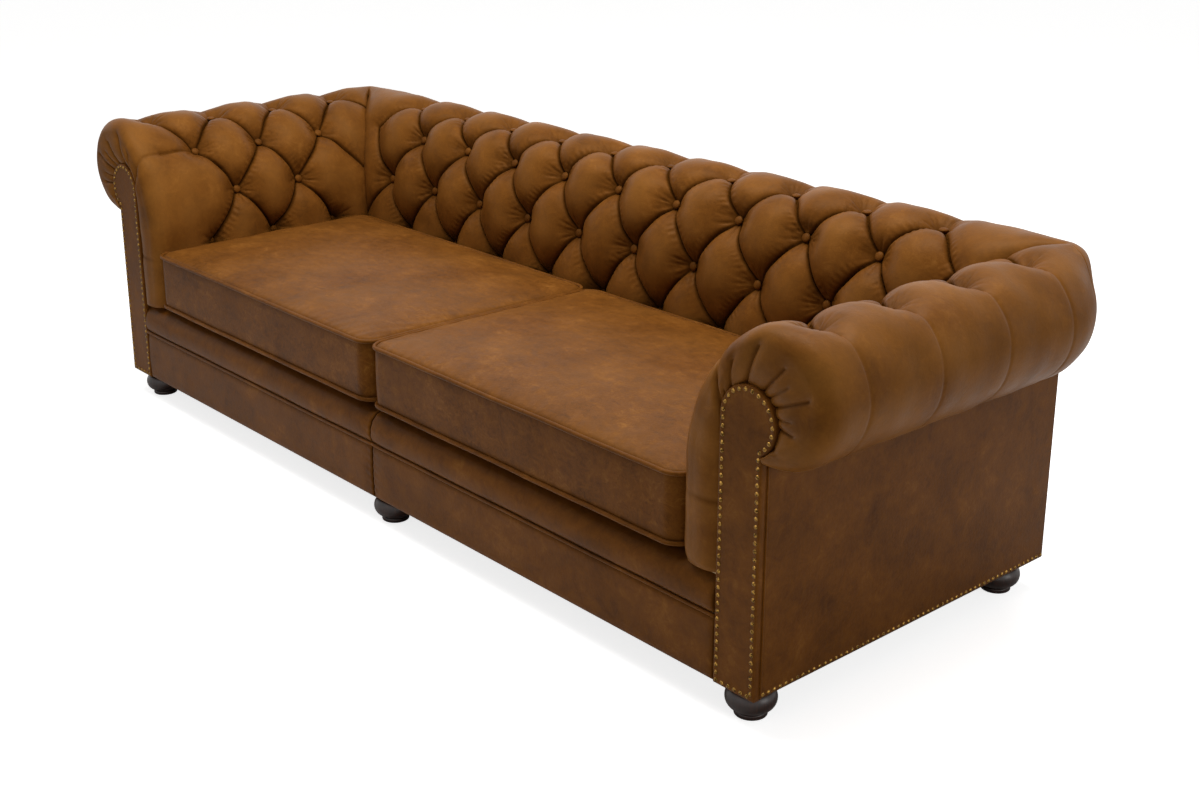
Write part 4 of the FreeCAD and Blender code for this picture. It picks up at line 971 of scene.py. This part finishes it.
def cushion_points(seed):
    """Top grid, bottom grid and boxing rows of one cushion about its middle, with their faces."""
    u = graded(HALF_X, TOP_COLUMNS)[None, :]
    v = graded(HALF_Y, TOP_ROWS)[:, None]
    x, y = rounded(u + 0 * v, v + 0 * u, SEAM_INSET)
    edge = np.clip(seam_distance(x, y, SEAM_INSET), 0, None)
    middle = (1 - fade(HALF_X - np.abs(x) + 25, 120.0)) * (1 - fade(HALF_Y - np.abs(y) + 25, 120.0))
    top = UPPER_SEAM + seam_drift(x, y, seed) + SHOULDER * (1 - fade(edge, 16.0))
    top -= 2.2 * bell(edge - 4.5, 4.0)
    top += CROWN * (1 - fade(edge, 60.0)) * middle
    pucker = np.sin((x + 0.35 * y) / 5.1 + 2.2 * waver(x, y, 140.0, seed + 3))
    top += 0.8 * pucker * fade(edge, 30.0) * (1 - fade(edge, 6.0))
    dents = waver(x, y, 230.0, seed + 4)
    ripples = waver(x, y, 60.0, seed + 5)
    top += 2.6 * dents * (1 - fade(edge, 90.0)) + 0.5 * ripples * (1 - fade(edge, 30.0))
    low = LOWER_SEAM + seam_drift(x, y, seed + 6) * fade(edge, 12.0)
    low = low - (LOWER_SEAM - CUSHION_BASE - 0.1) * (1 - fade(edge, 11.0))
    low = np.maximum(low, CUSHION_BASE + 0.1)
    rise = np.linspace(0, 1, BOXING_ROWS + 1)[:, None]
    to_seam = np.minimum(rise, 1 - rise)
    belly = np.sin(math.pi * rise)
    base_x, base_y = perimeter(SEAM_INSET, TOP_COLUMNS, TOP_ROWS)
    at_front = base_y[None, :] < -HALF_Y + CORNER
    at_rear = base_y[None, :] > HALF_Y - CORNER
    valley = np.exp(-to_seam * BOXING_HEIGHT / 7.0)
    drawn = SEAM_INSET + 1.6 * valley + 2.6 * belly - 3.4 * belly * at_front + 1.4
    sway = waver(base_x[None, :], rise * 60 + base_y[None, :], 170.0, seed + 7)
    drawn = drawn - 1.6 * belly * sway
    drawn = np.where((rise == 0) | (rise == 1), SEAM_INSET, drawn)
    drawn = np.where(at_rear, np.maximum(drawn, SEAM_INSET + 2.4 * belly), drawn)
    full_x, full_y = perimeter(0.0, TOP_COLUMNS, TOP_ROWS)
    core_x, core_y = perimeter(CORNER - 1.0, TOP_COLUMNS, TOP_ROWS)
    away_x, away_y = full_x - core_x, full_y - core_y
    length = np.hypot(away_x, away_y)
    side_x = full_x - away_x / length * drawn
    side_y = full_y - away_y / length * drawn
    bottom_level = LOWER_SEAM + seam_drift(base_x, base_y, seed + 6)
    top_level = UPPER_SEAM + seam_drift(base_x, base_y, seed)
    side_level = bottom_level + rise * (top_level - bottom_level)
    grids = [np.stack(grid, axis=-1).reshape(-1, 3)
             for grid in ((x, y, top), (x, y, low), (side_x, side_y, side_level))]
    count = x.size
    quads = [grid_quads(TOP_ROWS + 1, TOP_COLUMNS + 1),
             grid_quads(TOP_ROWS + 1, TOP_COLUMNS + 1, count)[:, ::-1],
             grid_quads(BOXING_ROWS + 1, len(base_x), 2 * count, wrap=True)[:, ::-1]]
    # Painted shade along the piped seams of the top, the bottom and the boxing.
    rim_shade = 0.85 * fade(edge, 4.0).ravel()
    fold_shade = np.concatenate([rim_shade, rim_shade, (0.85 * np.exp(-to_seam * 26.0) + 0 * drawn).ravel()])
    # The top is painted lighter, unevenly with the dents: partly the wax's lighter stretch, partly
    # a painted highlight. The bottom and the boxing get none.
    crest_lift_and_highlight = np.concatenate([(0.35 + 0.4 * dents).ravel() * 0.6, np.zeros(count + drawn.size)])
    return np.concatenate(grids), np.concatenate(quads), fold_shade, np.clip(crest_lift_and_highlight, 0, 1)


def tube(path, radius, sides, closed):
    """Points and faces of a round cord: a circle on the level sideways direction and on up."""
    ahead = np.roll(path, -1, axis=0) - np.roll(path, 1, axis=0)
    if not closed:
        ahead[0] = path[1] - path[0]
        ahead[-1] = path[-1] - path[-2]
    ahead = ahead / np.linalg.norm(ahead, axis=1)[:, None]
    guide = np.where(np.abs(ahead[:, 2:]) > 0.9, (0.0, 1.0, 0.0), (0.0, 0.0, 1.0))
    sideways = np.cross(ahead, guide)
    sideways = sideways / np.linalg.norm(sideways, axis=1)[:, None]
    up = np.cross(sideways, ahead)
    turn = np.linspace(0, 2 * math.pi, sides, endpoint=False)[None, :, None]
    outward = np.cos(turn) * sideways[:, None, :] + np.sin(turn) * up[:, None, :]
    ring = path[:, None, :] + radius * outward
    points = ring.reshape(-1, 3)
    if closed:
        points = np.concatenate([points, points[:sides]])
        return points, grid_quads(len(path) + 1, sides, wrap=True), None
    quads = grid_quads(len(path), sides, wrap=True)
    around = np.arange(sides)
    last = (len(path) - 1) * sides
    points = np.concatenate([points, path[:1], path[-1:]])
    after = (around + 1) % sides
    start = np.stack([np.full(sides, len(points) - 2), around, after], axis=-1)
    end = np.stack([np.full(sides, len(points) - 1), last + after, last + around], axis=-1)
    return points, quads, np.concatenate([start, end])


def join(parts):
    """Several sets of points, quads and triangles as one."""
    points, quads, triangles, total = [], [], [], 0
    for part_points, part_quads, part_triangles in parts:
        points.append(part_points)
        quads.append(part_quads + total)
        if part_triangles is not None:
            triangles.append(part_triangles + total)
        total += len(part_points)
    triangles = np.concatenate(triangles) if triangles else None
    return np.concatenate(points), np.concatenate(quads), triangles


for side, label, seed in ((1, "right", 101), (-1, "left", 131)):
    points, quads, fold_shade, crest_lift_and_highlight = cushion_points(seed)
    placed = points * (side, 1, 1) + (side * MID_X, MID_Y, 0)
    cushion = add_piece("seat_cushion_filled_" + label, placed, quads,
                        attributes={"fold_shade": fold_shade, "crest_lift_and_highlight": crest_lift_and_highlight})
    dress(close_up(cushion, 0.05), seat_leather, "seat_cushion_" + label, "leather",
          "cushion_cover_" + label, "cushion_core_" + label)
    rings = []
    for level, shift in ((UPPER_SEAM, 0), (LOWER_SEAM, 6)):
        ring_x, ring_y = perimeter(SEAM_INSET - 0.6, TOP_COLUMNS * 2, TOP_ROWS * 2)
        ring_z = level + seam_drift(ring_x, ring_y, seed + shift)
        ring = np.stack([side * ring_x + side * MID_X, ring_y + MID_Y, ring_z], axis=-1)
        rings.append(tube(ring[::side], PIPING, 12, True))
    piping = close_up(add_piece("cushion_piping_" + label, *join(rings)))
    dress(piping, panel_leather, "seat_cushion_" + label, "leather", "cushion_welts_" + label)

# %% [markdown]
# ## Panels, front cover and band
# The outsides are boards under a thin layer of wadding, so they are nearly flat, with soft edges.
# The front has two strips of leather, each sewn at the middle of the sofa: a flat cover below and a
# padded band above it, with a piped seam between them.

# %% Padded boards
def padded_board(name, width, height, seed, spot):
    """A board's face. Its depth rises round the border as a quarter circle and swells inside it.

    spot turns (along, up, out) to x, y, z.
    """
    columns = 8 * max(4, round(width / BOARD_STEP))
    rows = 8 * max(3, round(height / BOARD_STEP))
    u, v = np.meshgrid(graded(width / 2, columns, 1.35), graded(height / 2, rows, 1.35))
    inside = np.minimum(width / 2 - np.abs(u), height / 2 - np.abs(v))
    near = np.clip(1 - inside / BOARD_EDGE, 0, 1)
    swell = (1 - (2 * u / width) ** 2) ** 0.7 * (1 - (2 * v / height) ** 2) ** 0.7
    out = BOARD_THICK - BOARD_EDGE * hollow(near) + BOARD_SWELL * swell
    out = out + 0.8 * waver(u, v, 240.0, seed) * swell
    face, wall = spot(u, v, out), spot(u, v, 0 * out)
    # Painted shade round the board's soft border.
    return shell(name, face, wall[::8, ::8], {"fold_shade": 0.5 * fade(inside, 3.0), "crest_lift_and_highlight": 0 * out})


BOARD_STEP = 44.0
BOARD_THICK, BOARD_EDGE, BOARD_SWELL = 6.0, 4.0, 1.5
SIDE_FACE, BACK_FACE, UNDERSIDE = 1204.0, 417.0, 69.0
SIDE_TOP, BACK_TOP = 581.4, 599.2
FACING_THICK = 18.0
middle_y = (FRONT + FACING_THICK + BACK_FACE) / 2
for side, label, seed in ((1, "right", 201), (-1, "left", 211)):
    panel = padded_board(
        "side_panel_covered_" + label, BACK_FACE - FRONT - 18.4, SIDE_TOP - UNDERSIDE, seed,
        lambda u, v, out: np.stack([side * (SIDE_FACE - BOARD_THICK + out), u + middle_y,
                                    v + (UNDERSIDE + SIDE_TOP) / 2], axis=-1))
    dress(panel, panel_leather, "sofa_frame", "leather", "side_panel_" + label)
panel = padded_board(
    "outer_back_covered", 2395.4, BACK_TOP - UNDERSIDE, 221,
    lambda u, v, out: np.stack([u, BACK_FACE - BOARD_THICK + out,
                                v + (UNDERSIDE + BACK_TOP) / 2], axis=-1))
dress(panel, panel_leather, "sofa_frame", "leather", "outer_back")

# %% Front cover and band
FACING_IN = 1102.0
STRIP_END = FACING_IN - 0.4
STRIP_ROWS = 33
WELT_LEVEL = 203.0
BAND_PROFILE = ((-478.0, 206.0), (-484.5, 207.6), (-488.5, 214.0), (-490.3, 228.0),
                (-489.2, 245.0), (-483.0, 262.0), (-470.0, 276.0), (-450.0, 285.0),
                (-426.0, 288.2), (-396.0, 288.2))


def centre_graded(reach, count):
    """Places across the front, closer together near the middle seam and the ends."""
    share = np.linspace(-1, 1, count + 1)
    return reach * np.sign(share) * np.abs(share) ** 1.25


def front_strip(name, profile, wall_profile, count, seed, puff):
    """A profile carried along the front. Each half swells, and the middle seam draws it in."""
    x = centre_graded(STRIP_END, count)[:, None]
    measure = np.concatenate([[0], np.cumsum(np.hypot(*np.diff(profile, axis=0).T))])
    fine = np.linspace(0, measure[-1], STRIP_ROWS)
    smooth = np.stack([np.interp(fine, measure, profile[:, axis]) for axis in (0, 1)], axis=-1)
    for turn in range(3):
        smooth[1:-1] = (smooth[:-2] + 2 * smooth[1:-1] + smooth[2:]) / 4
    step = np.gradient(smooth, axis=0)
    step = step / np.hypot(step[:, 0], step[:, 1])[:, None]
    out_y, out_z = -step[:, 1][None, :], step[:, 0][None, :]
    gap = np.abs(x)
    end = np.abs(FACING_IN - gap)
    raised = puff * waver(x + 0 * out_y, fine[None, :] * 3 + 0 * x, 330.0, seed)
    raised = raised - 3.4 * bell(gap, 4.0) - 2.0 * bell(gap, 26.0)
    raised = raised + 0.7 * np.sin(fine[None, :] / 3.1 + 1.5 * np.sin(x / 30)) * bell(gap, 24.0)
    raised = raised - 3.0 * fade(end, 7.0)
    raised = raised * np.clip(np.sin(math.pi * np.linspace(0, 1, STRIP_ROWS))[None, :] * 4, 0, 1)
    wide = x + 0 * out_y
    face = np.stack([wide, smooth[:, 0] + out_y * raised, smooth[:, 1] + out_z * raised], axis=-1)
    wall_y, wall_z = (np.interp(fine, measure, wall_profile[:, axis]) + 0 * x for axis in (0, 1))
    wall = np.stack([wide, wall_y, wall_z], axis=-1)
    # Painted shade in the middle seam and at the ends against the facings.
    fold_shade = np.maximum(bell(gap, 2.6), 0.6 * fade(end, 5.0)) + 0 * out_y
    return shell(name, face, wall[::8, ::8], {"fold_shade": fold_shade, "crest_lift_and_highlight": 0 * fold_shade})


band_profile = np.array(BAND_PROFILE)
band_wall = np.array([(max(y + 12.0, -470.0), min(z, 262.0)) for y, z in BAND_PROFILE])
band = front_strip("front_band_padded", band_profile, band_wall, 640, 301, 1.4)
dress(band, panel_leather, "sofa_frame", "leather", "front_band")
cover_profile = np.array([(-479.0, 69.5), (-483.5, 70.5), (-485.0, 76.0), (-486.0, 120.0),
                          (-486.0, 160.0), (-485.0, 192.0), (-483.0, 198.0), (-479.0, 200.0)])
cover_wall = np.array([(-477.0, z) for y, z in cover_profile])
cover = front_strip("front_cover_lower", cover_profile, cover_wall, 640, 311, 0.8)
dress(cover, panel_leather, "sofa_frame", "leather", "front_cover")
welt_x = centre_graded(STRIP_END, 240)
welt_y = -483.2 + 2.0 * bell(welt_x, 6.0)
welt_z = WELT_LEVEL + 0.8 * waver(welt_x, 0 * welt_x, 400.0, 321)
welt_path = np.stack([welt_x, welt_y, welt_z], axis=-1)
welt = close_up(add_piece("front_piping", *tube(welt_path, 3.9, 12, False)))
dress(welt, panel_leather, "sofa_frame", "leather", "front_welt")

# %% [markdown]
# ## Facings
# The facing is a keyhole-shaped board in leather, nailed over the gathered end of the arm. Its edge
# turns over a small radius. The same outline is worked out at several insets, and the last one is
# filled.

# %% Facings
def keyhole(inset):
    """Right arm facing outline drawn in by an inset: foot, outer edge, scroll and inner edge."""
    inner, outer = FACING_IN + inset, SIDE_FACE - inset
    radius = SCROLL_RADIUS - inset
    centre = inner + radius
    low = UNDERSIDE + inset
    neck = -math.acos((outer - centre) / radius)
    turn = np.linspace(neck, math.pi, 61)
    foot_x = np.linspace(inner, outer, 13)[:-1]
    outer_z = np.linspace(low, SCROLL_LEVEL + radius * math.sin(neck), 61)[:-1]
    inner_z = np.linspace(SCROLL_LEVEL, low, 61)[1:-1]
    scroll_x, scroll_z = centre + radius * np.cos(turn), SCROLL_LEVEL + radius * np.sin(turn)
    x = np.concatenate([foot_x, 0 * outer_z + outer, scroll_x, 0 * inner_z + inner])
    z = np.concatenate([0 * foot_x + low, outer_z, scroll_z, inner_z])
    return x, z


def make_facing(side, label):
    """Rings from the board's back over its rounded front edge, then a flat face at each end."""
    rings = ((0.3, -467.2), (0.1, -475.0), (0.1, -481.0), (0.6, -483.2), (1.8, -484.6),
             (4.0, -485.2), (7.0, -485.0), (11.0, -484.4), (15.0, -484.6))
    outlines = [(keyhole(inset), y) for inset, y in rings]
    points = np.concatenate([np.stack([side * x, 0 * x + y, z], axis=-1)
                             for (x, z), y in outlines])
    count = len(outlines[0][0][0])
    quads = grid_quads(len(rings), count, wrap=True)
    piece = add_piece("arm_facing_covered_" + label, points, quads)
    work = bmesh.new()
    work.from_mesh(piece.data)
    work.verts.ensure_lookup_table()
    for start in (0, count * (len(rings) - 1)):
        work.faces.new(work.verts[start:start + count])
    work.to_mesh(piece.data)
    work.free()
    return close_up(piece)


for side, label in ((1, "right"), (-1, "left")):
    dress(make_facing(side, label), panel_leather, "sofa_frame", "leather", "facing_" + label)
    corner_z = np.linspace(UNDERSIDE + 3, 531.0, 40)
    edge_path = np.stack([0 * corner_z + side * (SIDE_FACE + 0.2), 0 * corner_z - 466.0, corner_z],
                         axis=-1)
    edging = close_up(add_piece("side_edge_piping_" + label, *tube(edge_path, 2.2, 10, False)))
    dress(edging, panel_leather, "sofa_frame", "leather")

# %% [markdown]
# ## Turned feet
# The bun feet are turned on a lathe, so a profile carried round an axis is the real process too: a
# small disc on the floor, a narrow waist, the bun and a short neck.

# %% Feet
def arc_points(centre, radius, start, end, count):
    """Points on an arc, in degrees."""
    turn = np.radians(np.linspace(start, end, count))
    return np.stack([centre[0] + radius * np.cos(turn), centre[1] + radius * np.sin(turn)], axis=-1)


foot_profile = np.concatenate([
    [(0.0, 0.0), (29.0, 0.0)],
    arc_points((29.5, 2.5), 2.5, -90, 0, 5),
    arc_points((29.0, 7.5), 3.0, 0, 80, 6),
    [(28.3, 10.8), (28.2, 12.8)],
    arc_points((24.7, 36.4), 24.9, -68, 62, 30),
    [(36.2, 59.2), (36.0, 61.0), (36.0, 72.5), (0.0, 72.5)],
])


def turned(profile, x, y, sides):
    """Points of a profile of (radius, height) carried round an upright axis."""
    around = np.linspace(0, 2 * math.pi, sides, endpoint=False)[None, :]
    radius, height = profile[:, :1], profile[:, 1:]
    ring = np.stack([x + radius * np.cos(around), y + radius * np.sin(around),
                     height + 0 * around], axis=-1)
    return ring.reshape(-1, 3), grid_quads(len(profile), sides, wrap=True), None


# %% [markdown]
# ## Other finishes
# Espresso-stained beech has a fine grain along the turned axis and a satin lacquer. Antiqued brass
# has a brown patina in small blotches. The frame is sawn timber, the deck and dust cloth are
# black non-woven cloth, and the zip is brass on brown tape.

# %% Other materials
def stained_beech():
    """Dark stain over fine pores, 0.6 mm wide, drawn at about 4 mm to show, stretched upright."""
    material, tree, shader, place = new_material("espresso_stained_beech")
    upright = node(tree, "Mapping", {"Vector": place, "Scale": (260.0, 260.0, 22.0)}).outputs[0]
    pores = noise(tree, upright, 1.0, 4.0).outputs["Fac"]
    stain = two_tone(tree, pores, 0.3, "#120805", 0.75, "#3a1e12")
    connect(tree, shader, {"Base Color": stain.outputs["Color"], "Roughness": 0.32,
                           "Normal": bump(tree, pores, 0.1, 0.0003)})
    return material


def antiqued_brass():
    """Brass whose patina is left in blotches about 3 mm across."""
    material, tree, shader, place = new_material("antiqued_brass")
    patina = noise(tree, place, 320.0, 3.0).outputs["Fac"]
    tone = two_tone(tree, patina, 0.36, "#241708", 0.62, "#a87f3e")
    connect(tree, shader, {"Base Color": tone.outputs["Color"], "Metallic": 1.0, "Roughness": 0.34})
    return material


def sawn_timber():
    """Pale hardwood with growth bands 9 mm apart along the sofa."""
    material, tree, shader, place = new_material("sawn_hardwood")
    stretched = node(tree, "Mapping", {"Vector": place, "Scale": (6.0, 110.0, 110.0)}).outputs[0]
    bands = noise(tree, stretched, 1.0, 6.0).outputs["Fac"]
    tone = two_tone(tree, bands, 0.3, "#a07a4c", 0.7, "#d8b888")
    connect(tree, shader, {"Base Color": tone.outputs["Color"], "Roughness": 0.75})
    return material


def cloth(name, dark, light, spacing, rough):
    """Woven or felted cloth: two crossed waves at a thread spacing in millimetres, with fibres.

    A wave texture of scale one repeats every tenth of pi metres.
    """
    material, tree, shader, place = new_material(name)
    waves = {"Vector": place, "Scale": 1.0 / (spacing * MM) / 6.283 * 2, "Distortion": 1.0}
    warp, weft = (node(tree, "TexWave", waves, bands_direction=axis).outputs["Fac"]
                  for axis in "XY")
    threads = calculate(tree, "MAXIMUM", warp, weft)
    fibre = noise(tree, place, 90.0, 5.0).outputs["Fac"]
    tone = two_tone(tree, calculate(tree, "MULTIPLY", threads, fibre), 0.0, dark, 1.0, light)
    connect(tree, shader, {"Base Color": tone.outputs["Color"], "Roughness": rough,
                           "Normal": bump(tree, threads, 0.25, 0.0004)})
    return material


def plated_steel():
    """Zinc plate with a spangle about 5 mm across."""
    material, tree, shader, place = new_material("zinc_plated_steel")
    spangle = node(tree, "TexVoronoi", {"Vector": place, "Scale": 200.0}).outputs["Distance"]
    rough = node(tree, "MapRange", {"Value": spangle, "To Min": 0.28, "To Max": 0.45}).outputs[0]
    connect(tree, shader, {"Base Color": colour("#c4c6c8"), "Metallic": 1.0, "Roughness": rough})
    return material


foot_wood = stained_beech()
brass = antiqued_brass()
timber = sawn_timber()
black_cloth = cloth("black_nonwoven", "#050505", "#1c1c1c", 1.6, 0.95)
webbing = cloth("elastic_webbing", "#3c3226", "#8a7758", 2.4, 0.9)
felt = cloth("needled_felt", "#6d675f", "#a49d92", 3.0, 1.0)
foam = cloth("fibre_wrapped_foam", "#cfc6a8", "#efe8d2", 4.0, 1.0)
zip_tape = cloth("brown_zip_tape", "#1d1109", "#3c2616", 1.2, 0.85)
steel = plated_steel()

feet = [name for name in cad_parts
        if name.startswith("foot_") and name not in ("foot_blocks", "foot_bolts")]
for name in feet:
    low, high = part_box(name)
    x, y = (low[0] + high[0]) / 2 / MM, (low[1] + high[1]) / 2 / MM
    foot = close_up(add_piece("turned_" + name, *turned(foot_profile, x, y, 96)))
    dress(foot, foot_wood, "sofa_frame", "foot_wood", name)

# %% Cloths
def cloth_sheet(name, x_low, x_high, y_low, y_high, level, thick, sag, seed):
    """A stretched sheet as a thin shell. It hangs by its sag times the product of two parabolas."""
    x = np.linspace(x_low, x_high, 161)[None, :]
    y = np.linspace(y_low, y_high, 65)[:, None]
    share_x = (2 * x - x_low - x_high) / (x_high - x_low)
    share_y = (2 * y - y_low - y_high) / (y_high - y_low)
    share = (1 - share_x ** 2) * (1 - share_y ** 2)
    x, y = x + 0 * y, y + 0 * x
    z = level - sag * share + 0.3 * waver(x, y, 120.0, seed) * (share > 0)
    face = np.stack([x, y, z], axis=-1)
    back = face - (0, 0, thick)
    return shell(name, face, back[::8, ::8], {})


dust = cloth_sheet("dust_cloth", -1197.0, 1197.0, -461.0, 410.0, 72.9, 1.2, 1.6, 401)
dress(dust, black_cloth, "sofa_frame", "black_cloth", "dust_cover")
deck_low, deck_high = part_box("deck_cloth")
deck = cloth_sheet("deck_platform_cloth", deck_low[0] / MM, deck_high[0] / MM, deck_low[1] / MM,
                   deck_high[1] / MM, deck_high[2] / MM, 1.8, 0.0, 411)
dress(deck, black_cloth, "sofa_frame", "black_cloth", "deck_cloth")

# %% Materials of the frame's own solids
NODE_FINISH = (("frame_", timber), ("foot_blocks", timber), ("foot_bolts", steel),
               ("facing_nails", brass), ("base_nails", brass), ("seat_webbing", webbing),
               ("arm_webbing", webbing), ("back_webbing", webbing), ("deck_pad", felt),
               ("cushion_core", foam), ("cushion_zip", zip_tape), ("zip_slider", brass))
for name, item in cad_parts.items():
    for start, material in NODE_FINISH:
        if name.startswith(start):
            item.data.materials.clear()
            item.data.materials.append(material)

# %% Lights, floor and view
def area_light(name, place, target, size, power):
    """A soft lamp that faces a target."""
    lamp = bpy.data.lights.new(name, "AREA")
    lamp.shape = "RECTANGLE"
    lamp.size, lamp.size_y = size
    lamp.energy = power
    item = bpy.data.objects.new(name, lamp)
    direction = np.subtract(target, place)
    forward = direction / np.linalg.norm(direction)
    side = np.cross(forward, (0.0, 0.0, 1.0))
    if np.linalg.norm(side) < 1e-6:
        side = np.array((1.0, 0.0, 0.0))
    side = side / np.linalg.norm(side)
    up = np.cross(side, forward)
    item.matrix_world = Matrix([
        (side[axis], up[axis], -forward[axis], place[axis]) for axis in range(3)
    ] + [(0, 0, 0, 1)])
    bpy.context.scene.collection.objects.link(item)


area_light("top_softbox", (0.2, -0.2, 3.4), (0.0, 0.0, 0.4), (3.6, 1.8), 138.0)
area_light("front_softbox", (0.6, -4.6, 2.2), (0.0, 0.0, 0.4), (3.4, 2.0), 6.0)
area_light("side_softbox", (5.2, 0.6, 1.6), (1.2, 0.0, 0.4), (2.4, 1.6), 34.0)

# The surroundings are dim, but rays from the camera, mirrored rays and rays through glass see
# them white, so the sofa stands on white without being flooded by it.
AMBIENT = 0.20
world = bpy.data.worlds.new("studio")
bpy.context.scene.world = world
world.use_nodes = True
tree = world.node_tree
path = node(tree, "LightPath", {})
background = tree.nodes["Background"]
connect(tree, background, {"Color": (1, 1, 1, 1), "Strength": AMBIENT})
seen = node(tree, "Background", {"Color": (1, 1, 1, 1), "Strength": 1.0})
straight = calculate(tree, "ADD", path.outputs["Is Camera Ray"],
                     path.outputs["Is Transmission Ray"], clamp=True)
mirrored = calculate(tree, "ADD", path.outputs["Is Glossy Ray"], straight, clamp=True)
mixed = node(tree, "MixShader", {0: mirrored, 1: background.outputs[0], 2: seen.outputs[0]})
connect(tree, tree.nodes["World Output"], {"Surface": mixed.outputs[0]})

# The floor glows a little to the camera only. It turns white there and keeps the sofa's shadow.
FLOOR_HALF, FLOOR_LEVEL = 30000, -0.5
FLOOR_GLOW = 0.78
floor_points = np.array([(east * FLOOR_HALF, north * FLOOR_HALF, FLOOR_LEVEL)
                         for east, north in ((-1, -1), (1, -1), (1, 1), (-1, 1))])
floor = add_piece("studio_floor", floor_points, np.array([[0, 1, 2, 3]]))
floor_material, tree, shader, place = new_material("pale_floor")
connect(tree, shader, {"Base Color": colour("#f2f1ef"), "Roughness": 0.9,
                       "Specular IOR Level": 0.1})
path = node(tree, "LightPath", {})
glow = node(tree, "Emission", {"Color": (1, 1, 1, 1), "Strength": FLOOR_GLOW})
lit = node(tree, "AddShader", {0: shader.outputs[0], 1: glow.outputs[0]})
shown = node(tree, "MixShader", {0: path.outputs["Is Camera Ray"], 1: shader.outputs[0],
                                 2: lit.outputs[0]})
connect(tree, tree.nodes["Material Output"], {"Surface": shown.outputs[0]})
floor.data.materials.append(floor_material)

view = bpy.context.scene.view_settings
view.view_transform = "Standard"
